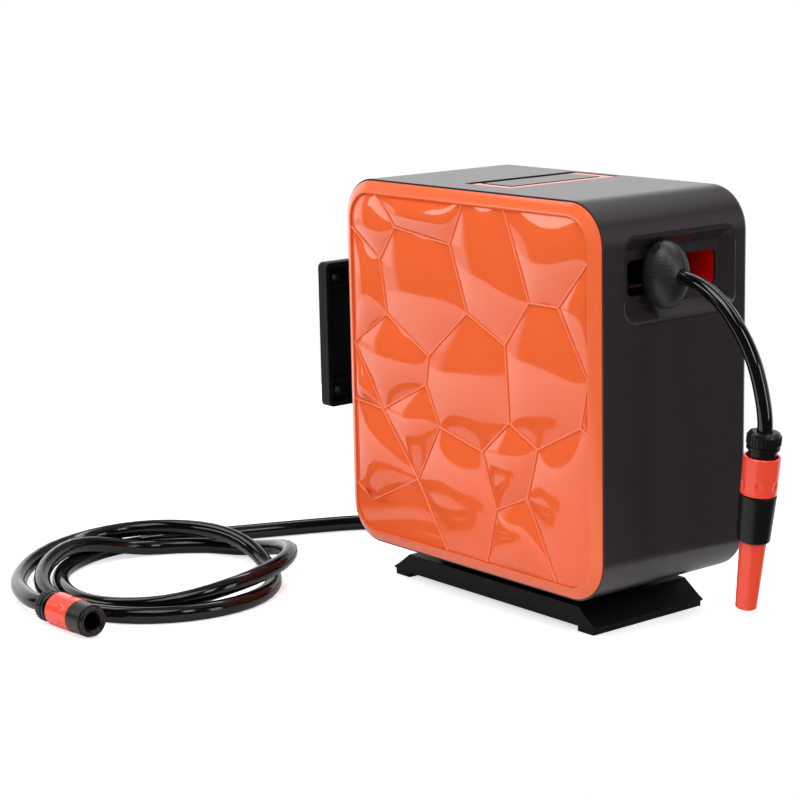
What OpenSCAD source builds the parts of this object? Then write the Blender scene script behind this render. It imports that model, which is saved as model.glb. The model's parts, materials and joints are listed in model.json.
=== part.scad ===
// Garden hose reel box with a spring rewind, a level-winding hose guide, a wall bracket and a floor stand.
// Millimetres. +Z is up, the front panel faces -Y, the hose leaves at +X, and the floor is z = 0.

/* [Casing] */
// Width of the casing across the front
box_w = 378; // [350:1:420]
// Height of the casing
box_h = 380; // [360:1:420]
// Depth of the main shell, from its front wall to the rear seam
shell_d = 184; // [180:1:200]
// Depth of the rear cover
cover_d = 10; // [9:1:20]
// Radius of the casing's long corners
corner_r = 42; // [30:1:56]
// Wall thickness of the mouldings
wall = 3; // [2.5:0.1:4]
// Clearance between neighbouring mouldings
gap = 0.3; // [0.2:0.05:0.4]
// Radial clearance of a shaft that turns in a bore
run = 0.05; // [0.02:0.01:0.1]

/* [Front] */
// Width of the rolled orange rim
rim_w = 14; // [10:1:18]
// How far the rim stands out from the shell
rim_proud = 7.5; // [5:0.5:10]
// Depth of the panel's grooves below the rim
panel_sink = 2; // [1:0.5:4]
// Width of the groove between two panel cells
groove_w = 2.4; // [1.6:0.2:4]
// Height of a panel cell's crown over the grooves
crown = 6; // [3:0.5:9]

/* [Outlet] */
// Width of the outlet recess at its mouth
outlet_w = 142; // [138:1:150]
// Height of the outlet recess at its mouth
outlet_h = 72; // [71:1:84]
// Depth of the outlet recess
outlet_d = 12; // [10:1:16]
// Width of the rolled lip round the recess
outlet_lip = 6; // [4:0.5:8]
// How far the recess narrows to its floor on each side
outlet_taper = 9; // [4:0.5:9]
// Distance from each end of the recess to the hose slot
slot_in = 12; // [11:0.5:16]
// Height of the hose slot
slot_h = 34; // [30:1:40]
// Depth of the red liner behind the slot
liner_d = 36; // [20:1:38]
// Radius of the hose stop across the hose
ball_r = 22.5; // [18:0.5:24]
// Half height of the hose stop
ball_h = 32; // [26:0.5:33]

/* [Drum] */
// Radius of the fixed axle
axle_r = 12; // [10:0.5:14]
// Radius of the drum core
core_r = 62; // [50:1:72]
// Radius of the drum flanges
flange_r = 128; // [126:1:130]
// Thickness of the drum flanges
flange_t = 4; // [3:0.5:5]
// Clear width between the flanges
drum_w = 106; // [96:1:108]
// Centre radius of the outer layer of hose
wind_r = 118; // [110:1:120]
// Depth of the rewind spring's case
spring_d = 28; // [20:1:30]
// Radius of the rewind spring's case
spring_r = 70; // [60:1:80]
// Turns of the rewind spring
spring_turns = 9; // [6:1:12]
// Teeth of the ratchet wheel
ratchet_teeth = 12; // [8:4:16]
// Tip radius of the ratchet wheel
ratchet_r = 46; // [40:1:48]

/* [Layering gear] */
// Module of the gears
gear_m = 2; // [1.9:0.05:2.1]
// Teeth of the gear on the drum
drum_teeth = 44; // [40:4:48]
// Teeth of the idler gear
idler_teeth = 36; // [32:4:40]
// Teeth of the gear on the traverse screw
screw_teeth = 32; // [28:4:36]
// Width of the gears
gear_t = 8; // [6:0.5:9]
// Radius of the traverse screw
screw_r = 7; // [5:0.5:8]
// Radius of the guide rod
guide_rod_r = 5; // [4:0.5:6]
// Place of the hose along the drum at rest
guide_y = -22; // [-40:1:30]

/* [Hoses] */
// Outer diameter of the delivery hose
hose_d = 14; // [12:0.5:15]
// Outer diameter of the leader hose
leader_d = 17; // [15:0.5:17]

/* [Handle] */
// Distance from the handle's pivot to its grip
handle_reach = 53; // [44:1:70]
// Distance between the handle's arms
handle_span = 133; // [110:1:140]
// Width of the handle's bars
bar_w = 12; // [10:0.5:14]
// Thickness of the handle's bars
bar_t = 10; // [8:0.5:12]

/* [Stand] */
// Height of the floor stand
stand_h = 40; // [38:1:50]
// Width of the stand over its foot rails
stand_w = 300; // [260:2:330]
// Depth of the stand
stand_d = 148; // [130:2:170]
// Height of the stand's deck
deck_z = 25; // [22:1:28]
// Width of a foot rail
rail_w = 22; // [16:1:30]

/* [Wall bracket] */
// Width of the wall plate
plate_w = 130; // [110:2:136]
// Height of the wall plate
plate_h = 158; // [150:2:180]
// Depth of the wall plate's tray
plate_t = 14; // [10:1:16]
// Gap between the casing and the plate's rim
plate_reach = 82; // [80:1:100]
// Spacing of the wall screws across the plate
bolt_y = 100; // [80:1:104]
// Spacing of the wall screws up the plate
bolt_z = 124; // [110:1:126]
// Radius of the wall screw holes
bolt_r = 3.25; // [2.5:0.25:4]

/* [Nozzle] */
// Radius of the quick connectors' collars
collar_r = 17; // [16:0.5:19]
// Length of the collars
collar_l = 36; // [32:1:42]
// Length of the nozzle's grip
grip_l = 44.5; // [40:0.5:54]
// Length of the nozzle's tip
tip_l = 66; // [50:1:70]
// Bore of the leader connector's socket
socket_r = 9; // [8:0.25:10]

/* [Hidden] */
$fn = 48;

// Main planes
front_y = -(shell_d + cover_d) / 2;
seam_y = front_y + shell_d;
back_y = seam_y + cover_d;
side_x = box_w / 2;
top_z = stand_h + box_h;
axis_z = stand_h + box_h / 2;
eps = 0.01;

// Drum, from the front: cover, spring case, flange, hose, flange, ratchet, gear
spring_cover_t = 2;
drum_start = front_y + wall + 2.5;
case_y = drum_start + spring_cover_t;
flange_y = case_y + spring_d;
hose_y0 = flange_y + flange_t;
hose_y1 = hose_y0 + drum_w;
drum_end = hose_y1 + flange_t;
ratchet_t = 6;
gear_y1 = back_y - wall - 8;
gear_y0 = gear_y1 - gear_t;
axle_boss_r = 19;
axle_boss_y = front_y + wall + 8;
bush_r = axle_r + 4;
bush_l = 16;
hub_r = bush_r + 6;
hub_bore = axle_r + 0.5;
gear_hub_r = 24;
hose_r = hose_d / 2;
leader_r = leader_d / 2;

// Gear train, on one line from the drum's axis up to the traverse screw
train_a = 38.4;
idler_s = gear_m * (drum_teeth + idler_teeth) / 2;
screw_s = idler_s + gear_m * (idler_teeth + screw_teeth) / 2;
idler_x = idler_s * cos(train_a);
idler_z = axis_z + idler_s * sin(train_a);
screw_x = screw_s * cos(train_a);
screw_z = axis_z + screw_s * sin(train_a);
guide_rod_z = axis_z + wind_r + 26;
idler_pin_r = 5;
screw_bush_r = screw_r + 3;
screw_neck_r = screw_r - 1;

// Hose guide and outlet
outlet_z = axis_z + wind_r;
outlet_mid = outlet_z - 3;
slot_mid = outlet_z - 2.5;
outlet_back = 6;
outlet_y = seam_y - outlet_back - outlet_lip - outlet_w / 2;
outlet_corner = 11;
slot_w = outlet_w - 2 * slot_in;
floor_x = side_x - outlet_d;
liner_x = floor_x - wall - liner_d;
carriage_half = 12;
carriage_x0 = screw_x - carriage_half;
carriage_x1 = screw_x + carriage_half;
carriage_c = 8;
liner_wall = 2.5;
liner_flange = 5.5;
liner_foot = 3;
slot_corner = 6;
carriage_w = 36;
snout_r = hose_r + 4;
ball_x = side_x + 5;
ball_flat_x = floor_x + gap;

// Handle, folded flat in its tray
pivot_x = -33;
handle_sink = 0.5;
pivot_z = top_z - handle_sink - bar_t / 2;
groove_d = bar_t + 2;
groove_c = 1.2;
finger_x0 = pivot_x - 9;
finger_x1 = pivot_x + bar_t / 2;
pin_r = 3;
pin_bite = 3.2;
tray_end = 1;
handle_y = seam_y - tray_end - pin_bite - groove_c - bar_w / 2 - handle_span / 2;

// Wall bracket
plate_x1 = -side_x - plate_reach;
plate_x0 = plate_x1 - plate_t;
plate_floor = 4;
hinge_r = 8.5;
hinge_x = plate_x1 + 9;
bracket_up = 199;
bracket_z = stand_h + bracket_up;
knuckle_h = 83;
lug_h = 20;
hinge_pin_r = 5;
arm_flange_t = 6;
arm_flange_w = 90;
arm_flange_h = 112;
arm_t = 14;
arm_neck = 18;
arm_edge = 6;
rib_half = 20;
rib_t = 6;
rib_end = 22;
plate_rim = 5;
plate_corner = 6;
boss_wall = 3.5;
boss_h = 5;
head_r = 3.6;
head_h = 2.6;
pin_head = 3;

// Ratchet and pawl
ratchet_depth = 6;
pawl_r = 70;
pawl_a = 150;
pawl_x = pawl_r * cos(pawl_a);
pawl_z = axis_z + pawl_r * sin(pawl_a);
pawl_y0 = drum_end + 1;
pawl_t = 4;
pawl_pin_r = 3.5;
pawl_post_y = 66;

// Routes of the hoses, points chosen by hand
delivery_route = [
    [62, 348], [82, 348], [104, 348], [126, 348], [148, 348], [170, 348], [192, 348], [212, 348],
    [227, 346], [241, 342], [255, 335], [269, 325], [282, 312], [294, 297], [304, 280], [311, 262],
    [316, 243], [318, 229], [318, 219], [317, 209]
];
leader_route = [
    [0, 124, 191], [0, 124, 165], [0, 124, 135], [-2, 124, 108], [-9, 124, 81], [-22, 124, 56], [-42, 124, 34],
    [-68, 123, 18], [-98, 121, 10], [-130, 117, 8.5], [-164, 110, 8.5], [-198, 100, 8.5], [-230, 86, 8.5],
    [-260, 68, 8.5], [-286, 47, 8.5], [-308, 24, 8.5], [-325, 0, 8.5], [-340, -30, 8.5], [-354, -62, 8.5],
    [-367, -92, 8.5], [-379, -120, 8.5], [-390, -148, 8.5], [-400, -176, 8.5]
];
// The lying coil: distance from its centre and height of the hose at each eighth of a turn
coil_c = [-284, -288];
coil_a0 = 150;
coil_a1 = 980;
coil_step = 45;
coil_radii = [148, 118, 98, 101, 112, 128, 141, 140, 124, 116, 118, 125, 134, 134, 120, 120, 138, 142, 142, 148];
coil_high = [8.5, 8.5, 8.5, 8.5, 14, 28, 30, 9, 9, 27, 18, 8.5, 8.5, 8.5, 8.5, 27, 28, 22, 14, 18];
leader_end = [-256, -436];
leader_turn = 2;
loop_rings = 24;

// Crossings of the panel's ridges from its middle, chosen by hand on a panel of 350 by 352
knots = [
    [-105, 145], [-20, 135], [-130, 110], [-120, 55], [5, 70], [60, 45], [-55, 20], [95, 90], [135, 90], [-60, -10],
    [-130, -45], [-40, -50], [-75, -110], [25, -65], [-150, -145], [65, -30], [45, -120], [105, -50], [165, -20],
    [90, -100], [-135, 176], [0, 176], [60, 176], [-175, 140], [-175, 20], [-175, -40], [-175, -130], [175, 135],
    [175, 25], [175, -25], [-30, -176], [30, -176], [130, -176]
];
// Cells by their crossings, anticlockwise
cells = [
    [20, 0, 1, 21], [21, 1, 4, 5, 7, 22], [23, 24, 3, 2], [0, 2, 3, 6, 4, 1], [8, 28, 27], [3, 24, 10, 9, 6],
    [24, 25, 10], [4, 6, 9, 11, 13, 15, 5], [7, 5, 15, 17, 18, 28, 8], [9, 10, 12, 11], [25, 26, 14, 12, 10],
    [11, 12, 30, 31, 16, 13], [15, 13, 16, 19, 17], [18, 29, 28], [16, 31, 32, 19]
];
// Cells in the panel's corners: crossings before and after the round corner
corner_cells = [[[27], [22, 7, 8]], [[20], [23, 2, 0]], [[26], [30, 12, 14]], [[32], [29, 18, 17, 19]]];

// Helpers

// Extrudes an outline drawn in X and Z from y0 to y1
module xz(y0, y1) {
    translate([0, y1, 0]) rotate([90, 0, 0]) linear_extrude(y1 - y0) children();
}

// Extrudes an outline drawn in Y and Z from x0 to x1
module yz(x0, x1) {
    translate([x0, 0, 0]) rotate([90, 0, 90]) linear_extrude(x1 - x0) children();
}

// Round bar along Y
module rod_y(x, z, r, y0, y1) {
    translate([x, y1, z]) rotate([90, 0, 0]) cylinder(r = r, h = y1 - y0);
}

// Round bar along X
module rod_x(y, z, r, x0, x1) {
    translate([x0, y, z]) rotate([0, 90, 0]) cylinder(r = r, h = x1 - x0);
}

// Round tube along Y
module tube_y(x, z, r_out, r_in, y0, y1) {
    difference() {
        rod_y(x, z, r_out, y0, y1);
        rod_y(x, z, r_in, y0 - 1, y1 + 1);
    }
}

// Rectangle with round corners
module rounded(w, h, r) {
    square([w - 2 * r, h], center = true);
    square([w, h - 2 * r], center = true);
    for (sx = [-1, 1], sy = [-1, 1]) translate([sx * (w / 2 - r), sy * (h / 2 - r)]) circle(r);
}

// Casing's outline, drawn in by an inset
module casing_outline(inset) {
    translate([0, axis_z]) rounded(box_w - 2 * inset, box_h - 2 * inset, corner_r - inset);
}

// Slab with the casing's outline and a shaped edge: profile points are inset and place along Y
module soft_slab(profile) {
    n = len(profile) - 1;
    y0 = profile[0][1];
    y1 = profile[n][1];
    w = box_w - 2 * corner_r;
    h = box_h - 2 * corner_r;
    edge = concat([[0, y0]], [for (p = profile) [corner_r - p[0], p[1]]], [[0, y1]]);
    translate([0, 0, axis_z]) {
        xz(y0, y1) square([w, h], center = true);
        for (s = [-1, 1]) {
            translate([s * w / 2, 0, -h / 2]) mirror([s < 0 ? 1 : 0, 0, 0]) linear_extrude(h) polygon(edge);
            translate([-w / 2, 0, s * h / 2]) mirror([0, 0, s < 0 ? 1 : 0]) rotate([90, 0, 90]) linear_extrude(w)
                polygon([for (p = edge) [p[1], p[0]]]);
            for (t = [-1, 1]) translate([s * w / 2, 0, t * h / 2]) mirror([s < 0 ? 1 : 0, 0, 0])
                mirror([0, 0, t < 0 ? 1 : 0]) rotate([90, 0, 0]) rotate_extrude(angle = 90)
                    polygon([for (p = edge) [p[0], -p[1]]]);
        }
    }
}

// Gear outline with one tooth along +X
module gear_outline(teeth) {
    pitch_r = gear_m * teeth / 2;
    step = 360 / teeth;
    polygon([
        for (i = [0 : teeth - 1])
            for (p = [[-1.25, -0.34], [1, -0.1], [1, 0.1], [-1.25, 0.34]])
                (pitch_r + p[0] * gear_m) * [cos((i + p[1]) * step), sin((i + p[1]) * step)]
    ]);
}

// Gear between the two planes of the train, with a bore
module gear(teeth, x, z, turn, bore) {
    difference() {
        xz(gear_y0, gear_y1) translate([x, z]) rotate(turn) gear_outline(teeth);
        rod_y(x, z, bore, gear_y0 - 1, gear_y1 + 1);
    }
}

// Tube swept along points: directions, frames and rings
function unit(v) = v / norm(v);
function across(u, t) = unit(u - (u * t) * t);
function headings(p) = let (n = len(p)) [for (i = [0 : n - 1]) unit(p[min(i + 1, n - 1)] - p[max(i - 1, 0)])];
function frames(t, start) = [
    for (i = 0, u = across(start, t[0]); i < len(t); i = i + 1, u = i < len(t) ? across(u, t[i]) : u) u
];

module swept_tube(points, r, sides, start) {
    t = headings(points);
    u = frames(t, start);
    n = len(points);
    rings = [
        for (i = [0 : n - 1], j = [0 : sides - 1])
            let (a = 360 * j / sides) points[i] + r * (cos(a) * u[i] + sin(a) * cross(t[i], u[i]))
    ];
    walls = [
        for (i = [0 : n - 2], j = [0 : sides - 1])
            let (a = i * sides + j, b = i * sides + (j + 1) % sides)
                for (f = [[a, a + sides, b + sides], [a, b + sides, b]]) f
    ];
    last = (n - 1) * sides;
    ends = [for (j = [1 : sides - 2]) for (f = [[0, j, j + 1], [last, last + j + 1, last + j]]) f];
    polyhedron(points = rings, faces = concat(walls, ends), convexity = 10);
}

// Smooth value between entries of a list, at place s counted in entries
function blend4(p0, p1, p2, p3, f) =
    0.5 * (2 * p1 + (p2 - p0) * f + (2 * p0 - 5 * p1 + 4 * p2 - p3) * f * f
        + (3 * p1 - p0 - 3 * p2 + p3) * f * f * f);
function smooth_at(list, s) =
    let (last = len(list) - 1, i = min(floor(s), last - 1))
        blend4(list[max(i - 1, 0)], list[i], list[i + 1], list[min(i + 2, last)], s - i);
function coil_point(a) =
    let (s = (a - coil_a0) / coil_step, r = smooth_at(coil_radii, s))
        [coil_c[0] + r * cos(a), coil_c[1] + r * sin(a), max(leader_r, smooth_at(coil_high, s))];
coil_rings = round((coil_a1 - coil_a0) / 360 * loop_rings);
leader_dir = [cos(leader_turn), sin(leader_turn), 0];
leader_mouth = [leader_end[0], leader_end[1], collar_r];
coil_points = concat(
    [for (i = [0 : coil_rings]) coil_point(coil_a0 + (coil_a1 - coil_a0) * i / coil_rings)],
    [leader_mouth - 24 * leader_dir - [0, 0, 1], leader_mouth - 2 * leader_dir, leader_mouth + 14 * leader_dir]
);

// Least gap of a wound tube to itself, between points further apart than half a turn
function least_gap(points, d, apart) = min([
    for (i = [0 : len(points) - 1]) for (j = [i + apart : 1 : len(points) - 1]) norm(points[i] - points[j]) - d
]);
wind_pitch = hose_d + 0.8;
wind_rise = drum_w - hose_d - 2 * gap - 1;
wind_turns = wind_rise / wind_pitch;
wind_rings = round(wind_turns * loop_rings);
wind_points = [
    for (i = [0 : wind_rings])
        let (s = i / wind_rings, a = 360 * wind_turns * s)
            [wind_r * cos(a), hose_y0 + hose_r + gap + 0.5 + wind_rise * s, axis_z + wind_r * sin(a)]
];
echo(coil_gap = least_gap(coil_points, leader_d, 8), winding_gap = least_gap(wind_points, hose_d, 8));

// Outline of a panel cell, drawn in by half a groove
function left_of(a, b) = let (d = unit(b - a)) [-d[1], d[0]];
function drawn_in(poly, d) = let (n = len(poly)) [
    for (i = [0 : n - 1])
        let (p = left_of(poly[(i + n - 1) % n], poly[i]), q = left_of(poly[i], poly[(i + 1) % n]))
            poly[i] + d * (p + q) / (1 + p * q)
];
function corner_arc(q, w, h, r) = [
    for (s = [0 : 4])
        let (a = 90 * q + 22.5 * s, c = [[1, 1], [-1, 1], [-1, -1], [1, -1]][q])
            [c[0] * (w / 2 - r) + r * cos(a), c[1] * (h / 2 - r) + r * sin(a)]
];
function middle(poly) = [for (k = [0, 1]) (max([for (p = poly) p[k]]) + min([for (p = poly) p[k]])) / 2];

// Pillow over a cell's outline, base at z = 0, lower on a cell whose outline comes near its middle
full_crown_at = 36;
module pillow(poly) {
    shares = [1, 0.86, 0.66, 0.4, 0.16];
    n = len(poly);
    m = middle(poly);
    size = min([for (p = poly) norm(p - m)]);
    rise = crown * min(1, size / full_crown_at);
    top = [for (s = shares) for (p = poly) let (q = m + s * (p - m)) [q[0], q[1], rise * (1 - pow(s, 2.2))]];
    base = [for (p = poly) [p[0], p[1], -1]];
    walls = [
        for (k = [0 : len(shares) - 1], i = [0 : n - 1])
            let (a = k * n + i, b = k * n + (i + 1) % n) for (f = [[a, a + n, b + n], [a, b + n, b]]) f
    ];
    peak = len(shares) * n;
    ends = [for (i = [1 : n - 2]) for (f = [[0, i, i + 1], [peak, peak + i + 1, peak + i]]) f];
    polyhedron(points = concat(base, top), faces = concat(walls, ends), convexity = 4);
}

// Casing

// Tray walls under the top that the handle folds into
handle_y0 = handle_y - handle_span / 2 - bar_w / 2;
handle_y1 = handle_y + handle_span / 2 + bar_w / 2;
bar_x1 = pivot_x + handle_reach + bar_w / 2;

module handle_tray(grow) {
    x0 = finger_x0 - wall;
    x1 = bar_x1 + groove_c + wall;
    y0 = handle_y0 - groove_c - pin_bite - tray_end;
    depth = groove_d + wall;
    translate([x0 - grow, y0 - grow, top_z - depth - grow])
        cube([x1 - x0 + 2 * grow, seam_y - y0 + 9 * grow, depth + grow - wall / 2]);
}

module handle_groove() {
    x1 = bar_x1 + groove_c;
    y0 = handle_y0 - groove_c;
    y1 = handle_y1 + groove_c;
    inner = bar_w + 2 * groove_c;
    difference() {
        translate([finger_x0, y0, top_z - groove_d]) cube([x1 - finger_x0, y1 - y0, groove_d + 1]);
        translate([finger_x1, y0 + inner, top_z - groove_d - 1])
            cube([x1 - inner - finger_x1, y1 - y0 - 2 * inner, groove_d + 2]);
    }
    for (y = [y0 - pin_bite, y1]) rod_y(pivot_x, pivot_z, pin_r + run, y - eps, y + pin_bite + eps);
}

// Screw places
post_r = 6;
screw_shank_r = 1.8;
post_side = 16;
post_corner = 22;
post_bore = 16;
stand_post_x = 80;
stand_post_y = 40;
arm_post_in = 10;
post_l = 14;
// The upper posts stand above the hose port's flange
post_high = max(box_h / 2 - post_corner, slot_mid - axis_z + slot_h / 2 + liner_flange + gap + post_r);
cover_posts = [for (sx = [-1, 1], sz = [-1, 0, 1])
    [sx * (side_x - (sz == 0 ? post_side : post_corner)), axis_z + (sz > 0 ? post_high : sz * (box_h / 2 - post_corner))]];
stand_posts = [for (sx = [-1, 1], sy = [-1, 1]) [sx * stand_post_x, sy * stand_post_y]];
arm_posts = [for (sy = [-1, 1], sz = [-1, 1])
    [sy * (arm_flange_w / 2 - arm_post_in), bracket_z + sz * (arm_flange_h / 2 - arm_post_in)]];

module main_shell() color("#2f2c2d") difference() {
    union() {
        difference() {
            xz(front_y, seam_y) casing_outline(0);
            xz(front_y + wall, seam_y + 1) casing_outline(wall);
        }
        rod_y(0, axis_z, axle_boss_r, front_y + wall / 2, axle_boss_y);
        rod_y(screw_x, screw_z, screw_bush_r + wall, front_y + wall / 2, axle_boss_y);
        rod_y(screw_x, guide_rod_z, guide_rod_r + wall, front_y + wall / 2, axle_boss_y);
        handle_tray(0);
        for (p = cover_posts) rod_y(p[0], p[1], post_r, front_y + wall / 2, seam_y);
        for (p = stand_posts) translate([p[0], p[1], stand_h + wall / 2]) cylinder(r = post_r, h = post_l);
        for (p = arm_posts) rod_x(p[0], p[1], post_r, -side_x + wall / 2, -side_x + post_l);
    }
    handle_groove();
    yz(floor_x - wall - 1, side_x + 1) translate([0, outlet_mid])
        translate([outlet_y, 0])
            rounded(outlet_w + 2 * outlet_lip, outlet_h + 2 * outlet_lip, outlet_corner + outlet_lip);
    rod_y(0, axis_z, axle_r + run, front_y + 1, axle_boss_y + 1);
    rod_y(screw_x, screw_z, screw_bush_r + run, front_y + 1, axle_boss_y + 1);
    rod_y(screw_x, guide_rod_z, guide_rod_r + run, front_y + 1, axle_boss_y + 1);
    for (p = cover_posts) rod_y(p[0], p[1], screw_shank_r + run, seam_y - post_bore, seam_y + 1);
    for (p = stand_posts) translate([p[0], p[1], stand_h - 1]) cylinder(r = screw_shank_r + run, h = post_l);
    for (p = arm_posts) rod_x(p[0], p[1], screw_shank_r + run, -side_x - 1, -side_x + post_l - 1);
}

// Rolled rim round the panel
module front_bezel() color("#f07a45") difference() {
    soft_slab([for (a = [90 : -15 : 0]) [(rim_w - 1) * (1 - cos(a)), front_y - rim_proud * sin(a)]]);
    xz(front_y - rim_proud - 1, front_y + 1) casing_outline(rim_w);
}

module facet_panel() color("#f0703a") {
    inset = rim_w + gap;
    w = box_w - 2 * inset;
    h = box_h - 2 * inset;
    r = corner_r - inset;
    face_y = front_y - rim_proud + panel_sink;
    xz(face_y, front_y) casing_outline(inset);
    at = [for (k = knots) [k[0] * w / 350, k[1] * h / 352]];
    corners = [
        for (q = [0 : 3])
            let (c = corner_cells[q])
                concat([for (i = c[0]) at[i]], corner_arc(q, w, h, r), [for (i = c[1]) at[i]])
    ];
    outlines = concat([for (c = cells) [for (i = c) at[i]]], corners);
    translate([0, face_y, axis_z]) rotate([90, 0, 0])
        for (outline = outlines) pillow(drawn_in(outline, groove_w / 2));
}

module rear_cover() color("#2f2c2d") {
    edge = 8;
    rounding = [for (a = [0 : 15 : 90]) [edge * (1 - cos(a)), back_y - edge + edge * sin(a)]];
    difference() {
        union() {
            difference() {
                soft_slab(concat([[0, seam_y]], rounding));
                xz(seam_y - 1, back_y - wall) casing_outline(edge);
            }
            rod_y(0, axis_z, 48, back_y - 1, back_y + 3);
            for (p = cover_posts) rod_y(p[0], p[1], post_r, seam_y, back_y - wall + 1);
        }
        rod_y(0, axis_z, axle_r + run, seam_y, back_y + 4);
        for (p = cover_posts) {
            rod_y(p[0], p[1], screw_shank_r + run, seam_y - 1, back_y + 1);
            rod_y(p[0], p[1], 4, back_y - 4, back_y + 1);
        }
    }
    difference() {
        xz(seam_y - 3.6, seam_y + 1) casing_outline(wall + gap);
        xz(seam_y - 5, seam_y + 2) casing_outline(edge - 1);
        for (p = cover_posts) rod_y(p[0], p[1], post_r + gap, seam_y - 5, seam_y + 2);
        handle_tray(gap);
    }
    tube_y(0, axis_z, axle_boss_r, axle_r + run, gear_y1 + 1, back_y - wall + eps);
    tube_y(screw_x, screw_z, screw_bush_r + wall, screw_bush_r + run, gear_y1 + 1, back_y - wall + eps);
    tube_y(screw_x, guide_rod_z, guide_rod_r + wall, guide_rod_r + run, gear_y0, back_y - wall + eps);
    tube_y(idler_x, idler_z, idler_pin_r + wall, idler_pin_r + run, gear_y1 + 1, back_y - wall + eps);
    tube_y(pawl_x, pawl_z, pawl_pin_r + wall, pawl_pin_r + run, pawl_post_y, back_y - wall + eps);
}

// Recess mouth at a depth, wider or narrower than its nominal size by a reach on each side
module mouth_ring(depth, reach) yz(side_x - depth, side_x - depth + eps) translate([outlet_y, outlet_mid])
    rounded(outlet_w + 2 * reach, outlet_h + 2 * reach, max(2, outlet_corner + reach));

// Recess with a rolled lip, drawn narrower towards its floor
module outlet_surround() color("#262425") difference() {
    lip = outlet_lip - gap;
    roll = [[-1, outlet_lip], [0, 3.6], [0.5, 2.4], [1.6, 1], [3.4, 0], [outlet_d, -outlet_taper]];
    yz(floor_x - wall, side_x) translate([outlet_y, outlet_mid])
        rounded(outlet_w + 2 * lip, outlet_h + 2 * lip, outlet_corner + lip);
    for (i = [1 : len(roll) - 2]) hull() {
        mouth_ring(roll[i][0], roll[i][1]);
        mouth_ring(roll[i + 1][0], roll[i + 1][1]);
    }
    yz(floor_x - wall - 1, floor_x + 1) translate([outlet_y, slot_mid]) rounded(slot_w, slot_h, slot_corner);
}

module hose_port_liner() color("#8c0a0a") difference() {
    union() {
        yz(liner_x, floor_x - wall) translate([outlet_y, slot_mid])
            rounded(slot_w + 2 * liner_wall, slot_h + 2 * liner_wall, slot_corner + liner_wall);
        yz(floor_x - wall - liner_foot, floor_x - wall) translate([outlet_y, slot_mid])
            rounded(slot_w + 2 * liner_flange, slot_h + 2 * liner_flange, 2 * liner_flange);
    }
    yz(liner_x - 1, floor_x - wall + 1) translate([outlet_y, slot_mid]) rounded(slot_w, slot_h, slot_corner);
    // Room for the guide's carriage, which travels past the liner's inner end
    yz(liner_x - slot_w, carriage_x1 + carriage_c) translate([outlet_y, slot_mid]) square(2 * slot_w, center = true);
}

module case_screws() color("#333333") for (p = cover_posts) {
    rod_y(p[0], p[1], head_r, back_y - 4, back_y - 4 + head_h);
    rod_y(p[0], p[1], screw_shank_r, seam_y - 14, back_y - 4 + eps);
}

// Drum

module drum_axle() color("#b9bcc0") difference() {
    rod_y(0, axis_z, axle_r, front_y + 1.2, back_y + 10);
    rod_y(0, axis_z, axle_r / 2, 0, back_y + 11);
    translate([0, 10, axis_z]) cylinder(r = 4, h = axle_r + 1);
}

module drum_core() color("#3a3a3c") difference() {
    tube_y(0, axis_z, core_r, core_r - 4, hose_y0, hose_y1);
    translate([0, 10, axis_z]) cylinder(r = hose_r + gap, h = core_r + 1);
}

// Flange with a hub, lightening windows and a raised edge
module flange(y_face, inward, hub_side) {
    y0 = min(y_face, y_face + inward * flange_t);
    hub_y0 = hub_side > 0 ? y0 : y0 - bush_l + flange_t;
    difference() {
        union() {
            rod_y(0, axis_z, flange_r, y0, y0 + flange_t);
            rod_y(0, axis_z, hub_r, hub_y0, hub_y0 + bush_l);
        }
        rod_y(0, axis_z, bush_r + run, hub_y0 - 1, hub_y0 + bush_l + 1);
        for (a = [30 : 60 : 330])
            rod_y((core_r - 4 + hub_r) / 2 * cos(a), axis_z + (core_r - 4 + hub_r) / 2 * sin(a), 10, y0 - 1,
                y0 + flange_t + 1);
    }
}

module front_flange() color("#3a3a3c") flange(hose_y0, -1, 1);
module rear_flange() color("#3a3a3c") flange(hose_y1, 1, -1);

module drum_bushes() color("#d8d2c0")
    for (y = [flange_y, hose_y1 + flange_t - bush_l])
        tube_y(0, axis_z, bush_r, axle_r + run, y, y + bush_l);

seal_y = [-2, 22];
module water_swivel() color("#c9a24a") difference() {
    union() {
        rod_y(0, axis_z, axle_r + 8, -8, 28);
        translate([0, 10, axis_z]) cylinder(r = hose_r, h = core_r - 0.5);
    }
    rod_y(0, axis_z, axle_r + run, -9, 29);
    translate([0, 10, axis_z]) cylinder(r = 4, h = core_r);
    for (y = seal_y) rod_y(0, axis_z, axle_r + 2 + run, y - 1.3, y + 1.3);
}

module swivel_seals() color("#1d1d1d")
    for (y = seal_y)
        translate([0, y, axis_z]) rotate([90, 0, 0]) rotate_extrude() translate([axle_r + run + 1, 0]) circle(1);

module hose_pack() color("#1b1b1c")
    tube_y(0, axis_z, wind_r * cos(180 / loop_rings) - hose_r - gap, core_r + gap, hose_y0 + gap, hose_y1 - gap);

module hose_winding() color("#1b1b1c") swept_tube(wind_points, hose_r, 6, [1, 0, 0]);

// Rewind spring

case_wall = 2.5;
module spring_case() color("#44444a") difference() {
    rod_y(0, axis_z, spring_r, case_y, flange_y);
    rod_y(0, axis_z, spring_r - case_wall, case_y - 1, flange_y - wall);
    rod_y(0, axis_z, hub_bore, case_y, flange_y + 1);
}

module spring_cover() color("#44444a")
    tube_y(0, axis_z, spring_r, axle_boss_r + 2, drum_start, case_y);

arbor_r = axle_r + 6;
strip_y0 = axle_boss_y + 1;
strip_y1 = flange_y - wall - 2;
module spring_arbor() color("#9a9ca0")
    tube_y(0, axis_z, arbor_r, axle_r + run, axle_boss_y, flange_y - wall - 1);

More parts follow.
